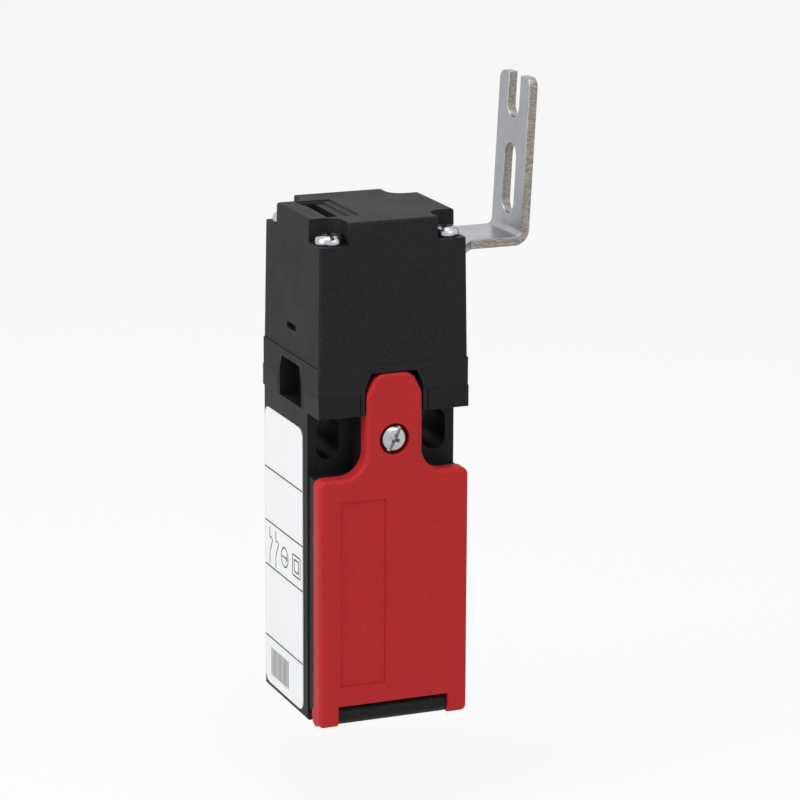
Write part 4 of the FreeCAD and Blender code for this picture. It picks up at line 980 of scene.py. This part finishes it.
class StageOperator(bpy.types.Operator):
    """Pale floor, plain studio light and the camera"""

    bl_idname = "interlock.stage"
    bl_label = "Stage"

    def lamp(self, name, spot, size, power):
        light = bpy.data.lights.new(name, "AREA")
        light.shape = "RECTANGLE"
        light.size, light.size_y = size
        light.energy = power
        made = bpy.data.objects.new(name, light)
        bpy.context.collection.objects.link(made)
        made.location = spot
        made.rotation_euler = (LAMP_AIM - Vector(spot)).to_track_quat("-Z", "Y").to_euler()

    def backed(self, nodes, lit, white, share=1.0):
        """Adds a share of a white shader that only camera, mirror and glass rays see."""
        seen = nodes.node("LightPath", output="Is Camera Ray")
        for kind in ("Is Glossy Ray", "Is Transmission Ray"):
            seen = nodes.node("Math", {"operation": "ADD", "use_clamp": True}, {
                0: seen, 1: nodes.node("LightPath", output=kind)})
        return nodes.node("MixShader", None, {0: seen * share, 1: lit, 2: white})

    def floor(self):
        made = begin("plane", size=FLOOR_WIDE,
                     location=(0, 0, cad_box[0].z - sizes().floor_drop))
        made.name = "floor"
        nodes = Nodes(bpy.data.materials.new("pale_floor"))
        lit = nodes.node("BsdfDiffuse", None, {"Color": scaled(WHITE, 0.9)})
        white = nodes.node("Emission", None, {"Color": WHITE, "Strength": 1.0})
        shader = self.backed(nodes, lit, white, FLOOR_SHOWN)
        made.data.materials.append(nodes.close("OutputMaterial", shader))
        return made

    def studio(self):
        """The even light of the room, which shows as plain white."""
        nodes = Nodes(bpy.data.worlds.new("studio"))
        plain = nodes.node("Background", None, {"Color": SKY, "Strength": SKY_STRENGTH})
        white = nodes.node("Background", None, {"Color": WHITE, "Strength": 1.0})
        return nodes.close("OutputWorld", self.backed(nodes, plain, white))

    def camera(self):
        cam = bpy.data.cameras.new("camera")
        cam.lens = LENS
        cam.sensor_width = SENSOR
        cam.clip_start, cam.clip_end = 0.05, 20
        made = bpy.data.objects.new("camera", cam)
        bpy.context.collection.objects.link(made)
        ahead = Vector((math.sin(YAW) * math.cos(PITCH), math.cos(YAW) * math.cos(PITCH),
                        -math.sin(PITCH)))
        right = Vector((math.cos(YAW), -math.sin(YAW), 0))
        above = right.cross(ahead)
        right, above = (right * math.cos(ROLL) + above * math.sin(ROLL),
                        above * math.cos(ROLL) - right * math.sin(ROLL))
        turn = Matrix((right, above, -ahead)).transposed().to_4x4()
        made.matrix_world = Matrix.Translation(CAMERA_SPOT) @ turn
        return made

    def execute(self, context):
        scene = context.scene
        scene.view_settings.view_transform = "Standard"
        floor = self.floor()
        scene.world = self.studio()
        for lamp in LAMPS:
            self.lamp(*lamp)
        scene.camera = self.camera()
        return {"FINISHED"}


OPERATORS = (
    FinishOperator,
    MouldingOperator,
    KeyOperator,
    HeadScrewOperator,
    LidScrewOperator,
    BlockScrewOperator,
    SpringOperator,
    InsertOperator,
    LabelPrintOperator,
    StageOperator,
)


class InterlockPanel(bpy.types.Panel):
    """Lists the steps that dress the switch, with their sizes and colours"""

    bl_idname = "VIEW3D_PT_interlock"
    bl_label = "Interlock switch"
    bl_space_type = "VIEW_3D"
    bl_region_type = "UI"
    bl_category = "Interlock"

    def draw(self, context):
        for step in OPERATORS:
            self.layout.operator(step.bl_idname)
        for group in (sizes(), colours()):
            for name in group.__annotations__:
                self.layout.prop(group, name)


CLASSES = (InterlockSizes, InterlockColours, *OPERATORS, InterlockPanel)


def register():
    for item in CLASSES:
        bpy.utils.register_class(item)
    bpy.types.Scene.interlock_sizes = bpy.props.PointerProperty(type=InterlockSizes)
    bpy.types.Scene.interlock_colours = bpy.props.PointerProperty(type=InterlockColours)


def unregister():
    del bpy.types.Scene.interlock_colours
    del bpy.types.Scene.interlock_sizes
    for item in reversed(CLASSES):
        bpy.utils.unregister_class(item)


def main():
    register()
    for step in OPERATORS:
        group, name = step.bl_idname.split(".")
        getattr(getattr(bpy.ops, group), name)()
    clear()


if __name__ == "__main__":
    main()
